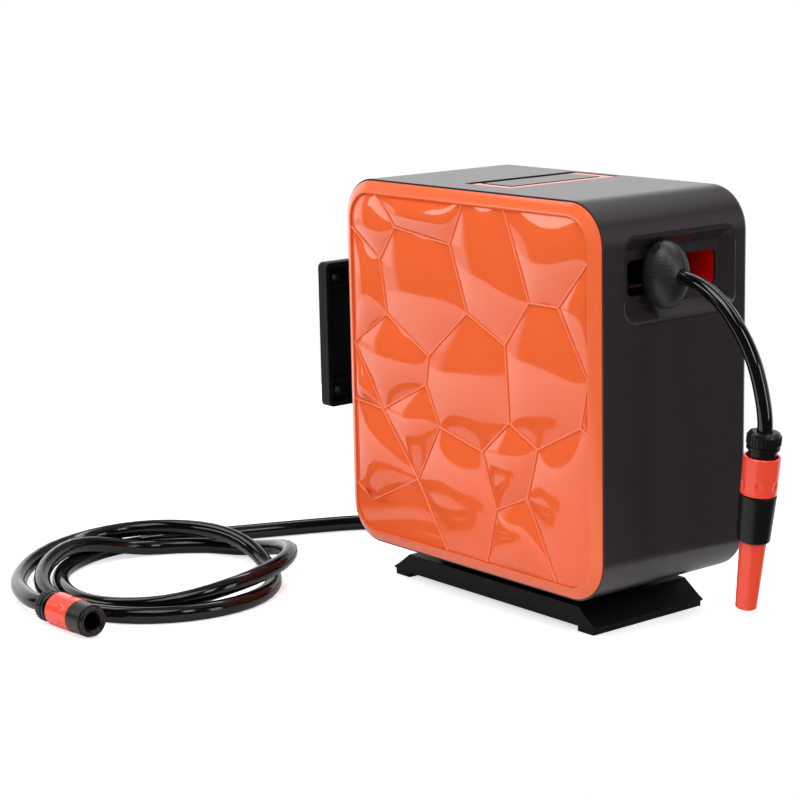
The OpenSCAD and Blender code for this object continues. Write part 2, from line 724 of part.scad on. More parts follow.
module power_spring() color("#7d8794") {
    strip = 1;
    n = spring_turns * 24;
    r0 = arbor_r + gap;
    r1 = spring_r - case_wall - gap - strip;
    inner = [for (i = [0 : n]) let (r = r0 + (r1 - r0) * i / n, a = 15 * i) r * [cos(a), sin(a)]];
    outer = [for (i = [n : -1 : 0]) let (r = r0 + strip + (r1 - r0) * i / n, a = 15 * i) r * [cos(a), sin(a)]];
    xz(strip_y0, strip_y1) translate([0, axis_z]) polygon(concat(inner, outer));
}

// Ratchet

ratchet_step = 360 / ratchet_teeth;
module ratchet_wheel() color("#8a8d90") difference() {
    xz(drum_end, drum_end + ratchet_t) translate([0, axis_z]) polygon([
        for (i = [0 : ratchet_teeth - 1])
            let (a = 9 + ratchet_step * i)
                for (p = [[-0.06, ratchet_r - ratchet_depth], [0, ratchet_r]])
                    p[1] * [cos(a + p[0] * ratchet_step), sin(a + p[0] * ratchet_step)]
    ]);
    rod_y(0, axis_z, gear_hub_r + gap, drum_end - 1, drum_end + ratchet_t + 1);
}

module pawl() color("#6f7276") {
    tip = [(ratchet_r + 3.5) * cos(184), (ratchet_r + 3.5) * sin(184) + axis_z];
    eye = [pawl_x, pawl_z];
    side = let (d = unit(tip - eye)) [-d[1], d[0]];
    difference() {
        union() {
            rod_y(eye[0], eye[1], 8, pawl_y0, pawl_y0 + pawl_t);
            rod_y(tip[0], tip[1], 1.5, pawl_y0, pawl_y0 + pawl_t);
            xz(pawl_y0, pawl_y0 + pawl_t)
                polygon([eye + 6 * side, eye - 6 * side, tip - 1.2 * side, tip + 1.2 * side]);
        }
        rod_y(pawl_x, pawl_z, pawl_pin_r + run, pawl_y0 - 1, pawl_y0 + pawl_t + 1);
    }
}

module pawl_pin() color("#b9bcc0") rod_y(pawl_x, pawl_z, pawl_pin_r, pawl_y0 - 0.5, back_y - wall);

module pawl_spring() color("#9aa0a6") {
    wire = 0.7;
    turns = 3;
    y0 = pawl_y0 + pawl_t + wire + gap;
    rise = pawl_post_y - wire - gap - y0;
    points = [
        for (i = [0 : turns * 12])
            let (a = 30 * i)
                [pawl_x + (pawl_pin_r + 1.2) * cos(a), y0 + rise * i / (turns * 12), pawl_z + (pawl_pin_r + 1.2) * sin(a)]
    ];
    swept_tube(points, wire, 6, [1, 0, 0]);
}

// Layering gear

module drum_gear() color("#d9d4c4") {
    gear(drum_teeth, 0, axis_z, train_a, hub_bore);
    tube_y(0, axis_z, gear_hub_r, hub_bore, drum_end, gear_y0 + eps);
}

module idler_gear() color("#d9d4c4")
    gear(idler_teeth, idler_x, idler_z, train_a + 180 + 180 / idler_teeth, idler_pin_r + run);

module idler_pin() color("#b9bcc0") union() {
    rod_y(idler_x, idler_z, idler_pin_r, gear_y0 - 2, back_y - wall);
    rod_y(idler_x, idler_z, idler_pin_r + 3, gear_y0 - 4, gear_y0 - 1);
}

module traverse_gear() color("#d9d4c4")
    gear(screw_teeth, screw_x, screw_z, train_a + 180, screw_neck_r + run);

module traverse_screw() color("#b9bcc0") {
    rod_y(screw_x, screw_z, screw_neck_r, front_y + wall + 1, back_y - wall - 0.5);
    difference() {
        rod_y(screw_x, screw_z, screw_r, axle_boss_y + 1.5, gear_y0);
        for (i = [0 : 8])
            translate([screw_x, guide_y - 30 + 12 * i, screw_z]) rotate([90, 0, 0])
                rotate_extrude() translate([screw_r, 0]) circle(1.6, $fn = 24);
    }
}

module screw_bushes() color("#d8d2c0") {
    tube_y(screw_x, screw_z, screw_bush_r, screw_neck_r + run, front_y + wall, axle_boss_y + 1);
    tube_y(screw_x, screw_z, screw_bush_r, screw_neck_r + run, gear_y1 + 1, back_y - wall);
}

module guide_rod() color("#b9bcc0") rod_y(screw_x, guide_rod_z, guide_rod_r, front_y + wall, back_y - wall);

guide_nut_r = screw_r + 2.5;
module hose_guide() color("#2a2a2c") difference() {
    union() {
        translate([carriage_x0, guide_y - carriage_w / 2, screw_z - guide_nut_r - 2])
            cube([carriage_x1 - carriage_x0, carriage_w, guide_rod_z + guide_rod_r + 4 - screw_z + guide_nut_r + 2]);
        rod_x(guide_y, outlet_z, snout_r, carriage_x1 - 1, ball_flat_x);
    }
    rod_x(guide_y, outlet_z, hose_r + gap, carriage_x0 - 1, ball_flat_x + 1);
    translate([carriage_x0 - eps, guide_y, outlet_z]) rotate([0, 90, 0])
        cylinder(r1 = hose_r + 5, r2 = hose_r + gap, h = 8);
    rod_y(screw_x, screw_z, guide_nut_r + run, guide_y - carriage_w, guide_y + carriage_w);
    rod_y(screw_x, guide_rod_z, guide_rod_r + run, guide_y - carriage_w, guide_y + carriage_w);
}

module guide_nut() color("#c9a24a")
    tube_y(screw_x, screw_z, guide_nut_r, screw_r + run, guide_y - carriage_w / 2, guide_y + carriage_w / 2);

// Hose stop

// Egg about a vertical axis, drawn in by an inset
module egg(inset) {
    a = ball_r - inset;
    b = ball_h - inset;
    rotate_extrude() polygon([for (t = [-90 : 7.5 : 90]) [a * cos(t) * (abs(t) < 90 ? 1 : 0), b * sin(t)]]);
}

stop_screws = [-13, 13];
stop_head_r = 4;
module hose_stop(upper) {
    cut = 2 * ball_h;
    difference() {
        translate([ball_x, guide_y, outlet_z]) difference() {
            egg(0);
            for (y = [2, 5, 8]) difference() {
                translate([-cut, y, -cut]) cube([2 * cut, 1, 2 * cut]);
                egg(0.9);
            }
        }
        translate([ball_x - cut, guide_y - cut, upper ? outlet_z - 2 * cut + gap / 2 : outlet_z - gap / 2])
            cube([2 * cut, 2 * cut, 2 * cut]);
        translate([ball_flat_x - cut, guide_y - cut, outlet_z - cut]) cube([cut + gap, 2 * cut, 2 * cut]);
        rod_x(guide_y, outlet_z, hose_r + gap, ball_x - cut, ball_x + cut);
        for (y = stop_screws) translate([ball_x, guide_y + y, outlet_z]) {
            translate([0, 0, upper ? 8 : -14]) cylinder(r = upper ? stop_head_r : screw_shank_r + run, h = upper ? cut : 20);
            cylinder(r = screw_shank_r + run, h = 10);
        }
    }
}

module ball_upper() color("#242426") hose_stop(true);
module ball_lower() color("#242426") hose_stop(false);

module ball_screws() color("#555759") for (y = stop_screws) translate([ball_x, guide_y + y, outlet_z]) {
    translate([0, 0, 8]) cylinder(r = stop_head_r - gap, h = 3);
    translate([0, 0, -12]) cylinder(r = screw_shank_r, h = 20 + eps);
}

// Delivery hose and nozzle, along an axis that hangs a little towards the casing

module delivery_hose() color("#1a1a1b")
    swept_tube([for (p = delivery_route) [p[0], guide_y, p[1]]], hose_r, 10, [0, 1, 0]);

nozzle_top = [318, 219];
nozzle_lean = 7;
module nozzle_axis() translate([nozzle_top[0], guide_y, nozzle_top[1]]) rotate([180, nozzle_lean, 0]) children();

// Lengths down the nozzle
nut_l = 17;
neck_l = 6;
neck_in = 4.5;
neck_r = collar_r - 4;
collar_s = nut_l + neck_l;
grip_s = collar_s + collar_l + gap;
tip_s = grip_s + grip_l + gap;
collar_wall = 2.2;
nut_r = collar_r - 1.75;
stem_r = collar_r - collar_wall - 0.6;

// Hose nut with a rounded shoulder and a neck that goes into the collar
module nut_form(bore) difference() {
    rotate_extrude() polygon([
        [0, 0], [nut_r - 4, 0], [nut_r - 1.2, 1], [nut_r, 3.5], [nut_r, nut_l - 5.5], [nut_r - 1.2, nut_l - 4.8],
        [nut_r - 1.2, nut_l - 3.8], [nut_r, nut_l - 3.1], [nut_r, nut_l - 1], [nut_r - 0.8, nut_l], [neck_r, nut_l],
        [neck_r, collar_s + neck_in], [0, collar_s + neck_in]
    ]);
    translate([0, 0, -1]) cylinder(r = bore, h = nut_l);
}

// Sliding collar with thumb dimples
dimple_r = 13;
module collar_form(s) difference() {
    translate([0, 0, s]) rotate_extrude() polygon([
        [collar_r - collar_wall, 0], [collar_r - 0.6, 0], [collar_r, 0.8], [collar_r - 0.4, collar_l - 0.8],
        [collar_r - 1, collar_l], [collar_r - collar_wall, collar_l]
    ]);
    for (a = [50 : 60 : 350]) rotate(a) translate([collar_r + dimple_r - 1.5, 0, s + collar_l - 10]) sphere(dimple_r);
}

// Stem inside a collar, with a flange at its far end
module stem_form(s) translate([0, 0, s + neck_in + gap]) difference() {
    stem_l = collar_l - neck_in - 1.5;
    rotate_extrude() polygon([[0, 0], [neck_r, 0], [neck_r, 2], [stem_r, 4], [stem_r, stem_l], [0, stem_l]]);
    translate([0, 0, 4]) cylinder(r = 5, h = collar_l);
}

module hose_nut() color("#202021") nozzle_axis() nut_form(hose_r + 0.7);
module connector_body() color("#202021") nozzle_axis() stem_form(collar_s);
module nozzle_collar() color("#f0553c") nozzle_axis() collar_form(collar_s);

grip_r0 = collar_r + 0.2;
grip_r1 = 14.6;
tip_r0 = 12.4;
tip_r1 = 9.5;
spigot_r = 9;
spigot_l = 30;
module nozzle_grip() color("#1f1f20") nozzle_axis() difference() {
    translate([0, 0, grip_s]) rotate_extrude() polygon([
        [0, 0], [grip_r0 - 0.6, 0], [grip_r0, 0.6], [grip_r1 + 0.8, grip_l - 1.5], [grip_r1, grip_l],
        [spigot_r, grip_l], [spigot_r, grip_l + spigot_l], [0, grip_l + spigot_l]
    ]);
    translate([0, 0, grip_s - 1]) cylinder(r = 5, h = grip_l + spigot_l + 2);
}

module nozzle_tip() color("#f0553c") nozzle_axis() translate([0, 0, tip_s]) difference() {
    rotate_extrude() polygon([[0, 0], [tip_r0, 0], [tip_r1 + 0.4, tip_l - 1], [tip_r1 - 0.6, tip_l], [0, tip_l]]);
    translate([0, 0, -1]) cylinder(r = spigot_r + run, h = spigot_l + 2);
    cylinder(r = 4, h = tip_l + 1);
    translate([0, 0, tip_l - 8]) cylinder(r1 = 4, r2 = tip_r1 - 2, h = 8 + eps);
}

// Water inlet and leader hose

inlet_y = back_y + 27;
inlet_r = axle_r + 4;
inlet_drop = 19;
inlet_end_z = axis_z - inlet_drop;
module inlet_elbow() color("#202021") difference() {
    union() {
        rod_y(0, axis_z, inlet_r, back_y + 3, inlet_y);
        translate([0, inlet_y, axis_z]) sphere(inlet_r);
        translate([0, inlet_y, inlet_end_z]) cylinder(r = inlet_r, h = axis_z - inlet_end_z);
    }
    rod_y(0, axis_z, axle_r + run, back_y + 2, back_y + 10 + gap);
    rod_y(0, axis_z, axle_r / 2, back_y + 9, inlet_y);
    translate([0, inlet_y, inlet_end_z - 1]) cylinder(r = axle_r / 2, h = axis_z - inlet_end_z + 1);
}

inlet_nut_l = 26;
module inlet_nut() color("#262627") translate([0, inlet_y, inlet_end_z - inlet_nut_l]) difference() {
    rotate_extrude() polygon([
        [0, 0], [leader_r + 4, 0], [inlet_r + 1.5, 4], [inlet_r + 1.5, inlet_nut_l - 1], [inlet_r + 0.5, inlet_nut_l],
        [0, inlet_nut_l]
    ]);
    translate([0, 0, -1]) cylinder(r = leader_r + 0.5, h = inlet_nut_l - 4);
    cylinder(r = 5, h = inlet_nut_l + 1);
    for (a = [0 : 30 : 330]) rotate(a) translate([inlet_r + 2.6, 0, 6]) cylinder(r = 1.8, h = inlet_nut_l);
}

coil_start_dir = unit(coil_points[1] - coil_points[0]);
module leader_hose() color("#171718")
    swept_tube(concat(leader_route, [for (s = [14, 6]) coil_points[0] - s * coil_start_dir]), leader_r, 10, [1, 0, 0]);

module leader_coil() color("#171718")
    swept_tube(concat([coil_points[0] - (6 - gap) * coil_start_dir], coil_points), leader_r, 10, [0, 0, 1]);

// Quick connector on the leader hose's end, lying on the floor
module leader_axis() translate(leader_mouth) rotate([0, 90, leader_turn]) children();

socket_s = collar_s + collar_l + gap;
socket_l = 26;
socket_flare = 2.6;
socket_out_r = collar_r - 1;
module leader_nut() color("#202021") leader_axis() nut_form(leader_r + 0.7);
module leader_collar() color("#f0553c") leader_axis() collar_form(collar_s);
module leader_socket() color("#1f1f20") leader_axis() difference() {
    union() {
        stem_form(collar_s);
        translate([0, 0, collar_s + collar_l - 2]) cylinder(r = stem_r, h = 2 + 2 * gap);
        translate([0, 0, socket_s]) rotate_extrude() polygon([
            [0, 0], [socket_out_r, 0], [socket_out_r, socket_l - 5], [socket_out_r - 1.4, socket_l - 4.4],
            [socket_out_r - 1.4, socket_l - 1], [socket_out_r - 2.4, socket_l], [0, socket_l]
        ]);
    }
    translate([0, 0, collar_s + 16]) cylinder(r = socket_r, h = collar_l + socket_l);
    translate([0, 0, socket_s + socket_l - socket_flare])
        cylinder(r1 = socket_r, r2 = socket_r + socket_flare + eps, h = socket_flare + eps);
}

// Handle

module carry_handle() color("#f0703a") {
    z0 = pivot_z - bar_t / 2;
    difference() {
        union() {
            translate([0, handle_y, z0]) linear_extrude(bar_t) difference() {
                translate([pivot_x + (handle_reach + bar_w / 2) / 2, 0])
                    rounded(handle_reach + bar_w / 2, handle_span + bar_w, 6);
                translate([pivot_x - 1, -handle_span / 2 + bar_w / 2])
                    square([handle_reach - bar_w / 2 + 1, handle_span - bar_w]);
                translate([pivot_x - 1, -handle_span]) square([1.5, 2 * handle_span]);
            }
            for (s = [-1, 1]) rod_y(pivot_x, pivot_z, bar_t / 2, handle_y + s * handle_span / 2 - bar_w / 2,
                handle_y + s * handle_span / 2 + bar_w / 2);
            for (s = [-1, 1]) translate([pivot_x, handle_y + s * handle_span / 2 - bar_w / 2, z0])
                cube([8, bar_w, bar_t]);
        }
        rod_y(pivot_x, pivot_z, pin_r + run, handle_y0 - 1, handle_y1 + 1);
    }
}

module handle_pins() color("#b9bcc0") {
    rod_y(pivot_x, pivot_z, pin_r, handle_y0 - groove_c - pin_bite + 0.2, handle_y0 + bar_w);
    rod_y(pivot_x, pivot_z, pin_r, handle_y1 - bar_w, handle_y1 + groove_c + pin_bite - 0.2);
}

// Stand

pad_w = 200;
pad_d = 110;
pocket_w = 100;
pocket_d = 60;
pocket_x = 62;
foot_z = 5;
lip_z = 7;
lip = 3;
slope = 22;
module base_stand() color("#1c1c1d") {
    half = stand_w / 2;
    difference() {
        union() {
            xz(-stand_d / 2, stand_d / 2) polygon([
                [-half + slope, deck_z], [half - slope, deck_z], [half - 4, lip_z + 5], [half + lip, lip_z + 1],
                [half + lip, lip_z - 1], [half, lip_z - 1], [half, 0], [half - rail_w, 0], [half - rail_w, foot_z],
                [-half + rail_w, foot_z], [-half + rail_w, 0], [-half, 0], [-half, lip_z - 1], [-half - lip, lip_z - 1],
                [-half - lip, lip_z + 1], [-half + 4, lip_z + 5]
            ]);
            translate([-pad_w / 2, -pad_d / 2, deck_z - 1]) cube([pad_w, pad_d, stand_h - deck_z + 1]);
        }
        for (sx = [-1, 1], sy = [-1, 1])
            translate([sx * pocket_x - pocket_w / 2, sy * stand_d / 4 - pocket_d / 2, foot_z - 1])
                cube([pocket_w, pocket_d, deck_z - foot_z - 2]);
        for (p = stand_posts) translate([p[0], p[1], 0]) cylinder(r = screw_shank_r + run, h = stand_h + 1);
    }
}

module base_screws() color("#555759") for (p = stand_posts) translate([p[0], p[1], 0]) {
    translate([0, 0, deck_z - 6.5]) cylinder(r = head_r, h = 3.5);
    translate([0, 0, deck_z - 3 - eps]) cylinder(r = screw_shank_r, h = stand_h - deck_z + 3 + post_l - 3);
}

// Wall bracket

module swivel_arm() color("#202021") difference() {
    union() {
        yz(-side_x - arm_flange_t, -side_x) translate([0, bracket_z]) rounded(arm_flange_w, arm_flange_h, arm_flange_t + 4);
        translate([0, 0, bracket_z]) xz(-arm_t / 2, arm_t / 2) polygon([
            [-side_x - arm_flange_t + 1, -arm_flange_h / 2 + arm_edge],
            [-side_x - arm_flange_t + 1, arm_flange_h / 2 - arm_edge],
            [-side_x - arm_flange_t - arm_neck, knuckle_h / 2], [hinge_x, knuckle_h / 2], [hinge_x, -knuckle_h / 2],
            [-side_x - arm_flange_t - arm_neck, -knuckle_h / 2]
        ]);
        translate([hinge_x, 0, bracket_z - knuckle_h / 2]) cylinder(r = hinge_r, h = knuckle_h);
        for (sz = [-1, 1]) translate([0, 0, bracket_z + sz * (knuckle_h / 2 - 1 - rib_t / 2) - rib_t / 2])
            linear_extrude(rib_t) polygon([
                [-side_x - arm_flange_t + 1, -rib_half], [-side_x - arm_flange_t + 1, rib_half],
                [hinge_x + rib_end, arm_t / 2], [hinge_x + rib_end, -arm_t / 2]
            ]);
    }
    translate([hinge_x, 0, bracket_z - knuckle_h]) cylinder(r = hinge_pin_r + run, h = 2 * knuckle_h);
    for (p = arm_posts) rod_x(p[0], p[1], screw_shank_r + run, -side_x - arm_flange_t - 1, -side_x + 1);
}

module arm_screws() color("#555759") for (p = arm_posts) {
    rod_x(p[0], p[1], head_r, -side_x - arm_flange_t - head_h, -side_x - arm_flange_t);
    rod_x(p[0], p[1], screw_shank_r, -side_x - arm_flange_t - eps, -side_x + post_l - 2);
}

module pivot_pin() color("#b9bcc0") translate([hinge_x, 0, bracket_z]) {
    reach = knuckle_h / 2 + gap + lug_h;
    translate([0, 0, -reach - 2]) cylinder(r = hinge_pin_r, h = 2 * reach + 2);
    translate([0, 0, reach + gap]) cylinder(r = hinge_r, h = pin_head);
    translate([0, 0, reach - 1]) cylinder(r = hinge_pin_r, h = 2);
}

module wall_plate() color("#1c1c1d") difference() {
    union() {
        difference() {
            yz(plate_x0, plate_x1) translate([0, bracket_z]) rounded(plate_w, plate_h, plate_corner);
            yz(plate_x0 + plate_floor, plate_x1 + 1) translate([0, bracket_z])
                rounded(plate_w - 2 * plate_rim, plate_h - 2 * plate_rim, plate_corner / 2);
        }
        for (sy = [-1, 1], sz = [-1, 1])
            rod_x(sy * bolt_y / 2, bracket_z + sz * bolt_z / 2, bolt_r + boss_wall, plate_x0 + 1,
                plate_x0 + plate_floor + boss_h);
        for (s = [-1, 1]) translate([0, 0, bracket_z + s * (knuckle_h / 2 + gap + lug_h / 2) - lug_h / 2]) {
            translate([plate_x0 + plate_floor - 1, -hinge_r, 0])
                cube([hinge_x - plate_x0 - plate_floor + 1, 2 * hinge_r, lug_h]);
            translate([hinge_x, 0, 0]) cylinder(r = hinge_r, h = lug_h);
            translate([plate_x0 + plate_floor - 1, -plate_w / 2 + plate_rim - eps, lug_h / 2 - 2])
                cube([6, plate_w - 2 * plate_rim + 2 * eps, 4]);
        }
    }
    translate([hinge_x, 0, bracket_z - plate_h]) cylinder(r = hinge_pin_r + run, h = 2 * plate_h);
    for (sy = [-1, 1], sz = [-1, 1])
        rod_x(sy * bolt_y / 2, bracket_z + sz * bolt_z / 2, bolt_r, plate_x0 - 1, plate_x1 + 1);
}

main_shell();
front_bezel();
facet_panel();
rear_cover();
outlet_surround();
hose_port_liner();
case_screws();
drum_axle();
drum_core();
front_flange();
rear_flange();
drum_bushes();
water_swivel();
swivel_seals();
hose_pack();
hose_winding();
spring_case();
spring_cover();
spring_arbor();
power_spring();
ratchet_wheel();
pawl();
pawl_pin();
pawl_spring();
drum_gear();
idler_gear();
idler_pin();
traverse_gear();
traverse_screw();
screw_bushes();
guide_rod();
hose_guide();
guide_nut();
ball_upper();
ball_lower();
ball_screws();
delivery_hose();
hose_nut();
connector_body();
nozzle_collar();
nozzle_grip();
nozzle_tip();
inlet_elbow();
inlet_nut();
leader_hose();
leader_coil();
leader_nut();
leader_collar();
leader_socket();
carry_handle();
handle_pins();
base_stand();
base_screws();
swivel_arm();
arm_screws();
pivot_pin();
wall_plate();
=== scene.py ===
"""Looks of a closed garden hose reel: finishes, smooth skins, hoses and a plain studio round the solids.

Lengths are in metres in the solids' own frame: +Z is up, the front panel faces -Y and the hose leaves at +X.
The routes of the hoses and the panel's knots are tables in millimetres.
"""

from __future__ import annotations

import json
import logging
import math
from dataclasses import dataclass, field, replace
from enum import Enum

import bpy
import numpy as np
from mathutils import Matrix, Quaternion, Vector

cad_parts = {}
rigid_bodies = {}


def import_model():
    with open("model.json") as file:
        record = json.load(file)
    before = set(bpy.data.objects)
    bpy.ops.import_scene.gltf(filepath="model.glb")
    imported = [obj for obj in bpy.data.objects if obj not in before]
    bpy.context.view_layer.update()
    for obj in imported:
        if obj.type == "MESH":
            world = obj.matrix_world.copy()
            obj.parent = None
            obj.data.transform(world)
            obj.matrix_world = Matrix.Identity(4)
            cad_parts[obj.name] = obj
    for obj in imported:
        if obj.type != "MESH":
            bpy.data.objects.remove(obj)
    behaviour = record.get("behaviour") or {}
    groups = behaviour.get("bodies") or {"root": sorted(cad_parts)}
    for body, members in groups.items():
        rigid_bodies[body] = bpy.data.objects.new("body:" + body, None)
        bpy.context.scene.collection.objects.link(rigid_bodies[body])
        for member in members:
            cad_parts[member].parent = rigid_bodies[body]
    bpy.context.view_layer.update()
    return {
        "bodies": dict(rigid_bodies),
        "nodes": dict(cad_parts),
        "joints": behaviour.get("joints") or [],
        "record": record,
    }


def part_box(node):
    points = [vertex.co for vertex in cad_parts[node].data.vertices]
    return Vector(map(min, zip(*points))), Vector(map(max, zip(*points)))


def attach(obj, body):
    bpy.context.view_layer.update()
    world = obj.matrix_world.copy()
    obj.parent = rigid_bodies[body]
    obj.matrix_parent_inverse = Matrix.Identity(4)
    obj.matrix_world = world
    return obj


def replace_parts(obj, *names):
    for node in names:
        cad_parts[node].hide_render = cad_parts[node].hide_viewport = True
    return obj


LOG = logging.getLogger("hose_reel")
MM = 0.001
FULL_TURN = 360
PHOTO_PIXELS = 800
SENSOR_WIDTH = 36.0
WHITE = (1.0, 1.0, 1.0, 1.0)

Array = np.ndarray
Piece = bpy.types.Object
Socket = bpy.types.NodeSocket
Tree = bpy.types.NodeTree
Node = bpy.types.Node
Faces = list[list[int]]
Rgb = tuple[float, float, float]
Point = tuple[float, float, float]
Pair = tuple[float, float]
Input = Socket | float | tuple


def srgb(*parts: int) -> Rgb:
    """Turns a screen colour into the linear values that a shader takes.

    Args:
        *parts: Red, green and blue from 0 to 255.

    Returns:
        The three linear values.
    """
    shares = (part / 255 for part in parts)
    return tuple(s / 12.92 if s <= 0.04045 else ((s + 0.055) / 1.055) ** 2.4 for s in shares)


def set_inputs(node: Node, *inputs: Input, **named: Input) -> None:
    """Sets inputs of a node.

    Args:
        node: Node of a shader or geometry tree.
        *inputs: Sockets to link or plain values, for the node's first inputs in their order.
        **named: Sockets or values for inputs by name, with underscores for spaces.
    """
    by_name = [(node.inputs[name.replace("_", " ")], value) for name, value in named.items()]
    for socket, value in [*zip(node.inputs, inputs), *by_name]:
        if isinstance(value, Socket):
            node.id_data.links.new(value, socket)
        else:
            socket.default_value = value


def add_node(tree: Tree, kind: str, *inputs: Input, operation: str = "", **named: Input) -> Node:
    """Adds a node to a tree and sets its inputs, as set_inputs does.

    Args:
        tree: Shader or geometry tree.
        kind: Blender's name of the node.
        *inputs: Values of its first inputs.
        operation: What a math node does.
        **named: Values of inputs by name.

    Returns:
        The node.
    """
    made = tree.nodes.new(kind)
    if operation:
        made.operation = operation
    set_inputs(made, *inputs, **named)
    return made


def add_math(tree: Tree, operation: str, *inputs: Socket | float) -> Socket:
    """Adds a math node and gives its output."""
    return add_node(tree, "ShaderNodeMath", *inputs, operation=operation).outputs[0]


def add_socket(tree: Tree, name: str, kind: str, way: str = "INPUT") -> str:
    """Adds an input or output to a tree and gives its identifier."""
    return tree.interface.new_socket(name, in_out=way, socket_type="NodeSocket" + kind).identifier


def add_object(name: str, data: bpy.types.ID) -> Piece:
    """Puts an object into the scene.

    Args:
        name: Its name.
        data: Its mesh, curve, lamp or camera.

    Returns:
        The object.
    """
    made = bpy.data.objects.new(name, data)
    bpy.context.scene.collection.objects.link(made)
    return made


class Surface(Enum):
    """How a surface was made, which sets the pattern that its finish shows."""

    MOULDED = "moulded"
    TURNED = "turned"


@dataclass(frozen=True)
class Finish:
    """One finish: its colour, its gloss and the fine pattern on it.

    A finish with dark_before is black where the object's Y is less than that: painted shade, not a colour of
    the part.
    """

    name: str
    color: Rgb
    roughness: float
    surface: Surface = Surface.MOULDED
    metallic: float = 0.0
    specular: float = 0.5
    tone: float = 0.06
    rough_spread: float = 0.06
    pattern_scale: float = 30.0
    grain_scale: float = 900.0
    grain_height: float = 0.0
    grain_strength: float = 0.6
    dark_before: float | None = None

    def material(self) -> bpy.types.Material:
        """Builds the finish as a material, or returns the one that was built before.

        Returns:
            The material.
        """
        found = bpy.data.materials.get(self.name)
        if found:
            return found
        made = bpy.data.materials.new(self.name)
        made.use_nodes = True
        tree = made.node_tree
        place = tree.nodes.new("ShaderNodeTexCoord").outputs["Object"]
        pattern = tree.nodes.new("ShaderNodeGroup")
        pattern.node_tree = SurfacePattern.group(self.surface)
        set_inputs(pattern, Vector=place, Base=(*self.color, 1.0), Tone=self.tone)
        set_inputs(pattern, Roughness=self.roughness, Spread=self.rough_spread)
        set_inputs(pattern, Pattern_Scale=self.pattern_scale, Grain_Scale=self.grain_scale)
        color, roughness, height = pattern.outputs
        # Painted shade: the colour turns black in front of a plane across Y.
        if self.dark_before is not None:
            depth = add_node(tree, "ShaderNodeSeparateXYZ", place).outputs["Y"]
            lit = add_math(tree, "GREATER_THAN", depth, self.dark_before)
            shade = add_node(tree, "ShaderNodeVectorMath", color, operation="SCALE", Scale=lit)
            color = shade.outputs["Vector"]
        shader = tree.nodes["Principled BSDF"]
        set_inputs(shader, Base_Color=color, Roughness=roughness, Metallic=self.metallic)
        set_inputs(shader, Specular_IOR_Level=self.specular)
        if self.grain_height > 0:
            bump = add_node(tree, "ShaderNodeBump", Height=height, Distance=self.grain_height)
            set_inputs(bump, Strength=self.grain_strength)
            set_inputs(shader, Normal=bump.outputs["Normal"])
        return made


class SurfacePattern:
    """Shader groups that every finish shares, one for each way of making a surface."""

    RING_STRETCH = (1.0, 12.0, 1.0)
    BROAD_DETAIL = 3.0
    FINE_DETAIL = 2.0
    NOISE_MIDDLE = 0.5

    @classmethod
    def group(cls, surface: Surface) -> Tree:
        """Builds the group of one kind of surface, or returns the one that was built before.

        Args:
            surface: How the surface was made.

        Returns:
            The shader group.
        """
        name = f"pattern_{surface.value}"
        found = bpy.data.node_groups.get(name)
        if found:
            return found
        tree = bpy.data.node_groups.new(name, "ShaderNodeTree")
        add_socket(tree, "Vector", "Vector")
        add_socket(tree, "Base", "Color")
        for number in ("Tone", "Pattern Scale", "Grain Scale", "Roughness", "Spread"):
            add_socket(tree, number, "Float")
        add_socket(tree, "Color", "Color", "OUTPUT")
        for number in ("Roughness", "Height"):
            add_socket(tree, number, "Float", "OUTPUT")
        cls._fill(tree, stretched=surface is Surface.TURNED)
        return tree

    @classmethod
    def _fill(cls, tree: Tree, stretched: bool) -> None:
        """Adds the nodes: a broad pattern for tone and gloss, and a fine grain for height.

        Args:
            tree: The empty group.
            stretched: Whether the pattern runs in rings along Y, as tool marks do.
        """
        entry = tree.nodes.new("NodeGroupInput").outputs
        vector = entry["Vector"]
        if stretched:
            mapping = add_node(tree, "ShaderNodeMapping", Vector=vector, Scale=cls.RING_STRETCH)
            vector = mapping.outputs["Vector"]
        noises = []
        for scale, detail in (("Pattern Scale", cls.BROAD_DETAIL), ("Grain Scale", cls.FINE_DETAIL)):
            noise = add_node(tree, "ShaderNodeTexNoise", Vector=vector, Scale=entry[scale], Detail=detail)
            noises.append(noise.outputs["Fac"])
        broad, fine = noises
        centred = add_math(tree, "SUBTRACT", broad, cls.NOISE_MIDDLE)
        toned = add_math(tree, "MULTIPLY_ADD", centred, entry["Tone"], 1.0)
        tint = add_node(tree, "ShaderNodeVectorMath", entry["Base"], operation="SCALE", Scale=toned)
        gloss = add_math(tree, "MULTIPLY_ADD", centred, entry["Spread"], entry["Roughness"])
        add_node(tree, "NodeGroupOutput", Color=tint.outputs["Vector"], Roughness=gloss, Height=fine)


RIM = Finish("satin_orange", srgb(240, 106, 58), 0.22, tone=0.04, rough_spread=0.05, pattern_scale=14.0)
# The ridges take a lighter copy of the panel's orange: painted highlight along the ridges.
RIDGE = replace(RIM, name="ridge_orange_painted_highlight", color=srgb(250, 126, 78), roughness=0.35)
ORANGE = replace(
    RIM, name="glossy_orange", color=srgb(241, 102, 52), roughness=0.06, specular=0.55, rough_spread=0.02
)
CORAL = Finish("coral_plastic", srgb(246, 78, 54), 0.2, tone=0.05, grain_height=0.02 * MM)
SHELL = Finish("grained_shell", srgb(44, 39, 41), 0.24, tone=0.1, rough_spread=0.03)
STAND = Finish("black_moulding", srgb(18, 17, 18), 0.5, specular=0.15, tone=0.15, grain_height=0.03 * MM)
FITTING = Finish("satin_fitting", srgb(17, 16, 17), 0.3, specular=0.3, tone=0.12, grain_height=0.02 * MM)
HOSE = Finish(
    "glossy_hose", srgb(8, 8, 9), 0.1, specular=0.6, tone=0.1, rough_spread=0.03, pattern_scale=60.0
)
LEADER = replace(HOSE, name="satin_hose", specular=0.36)
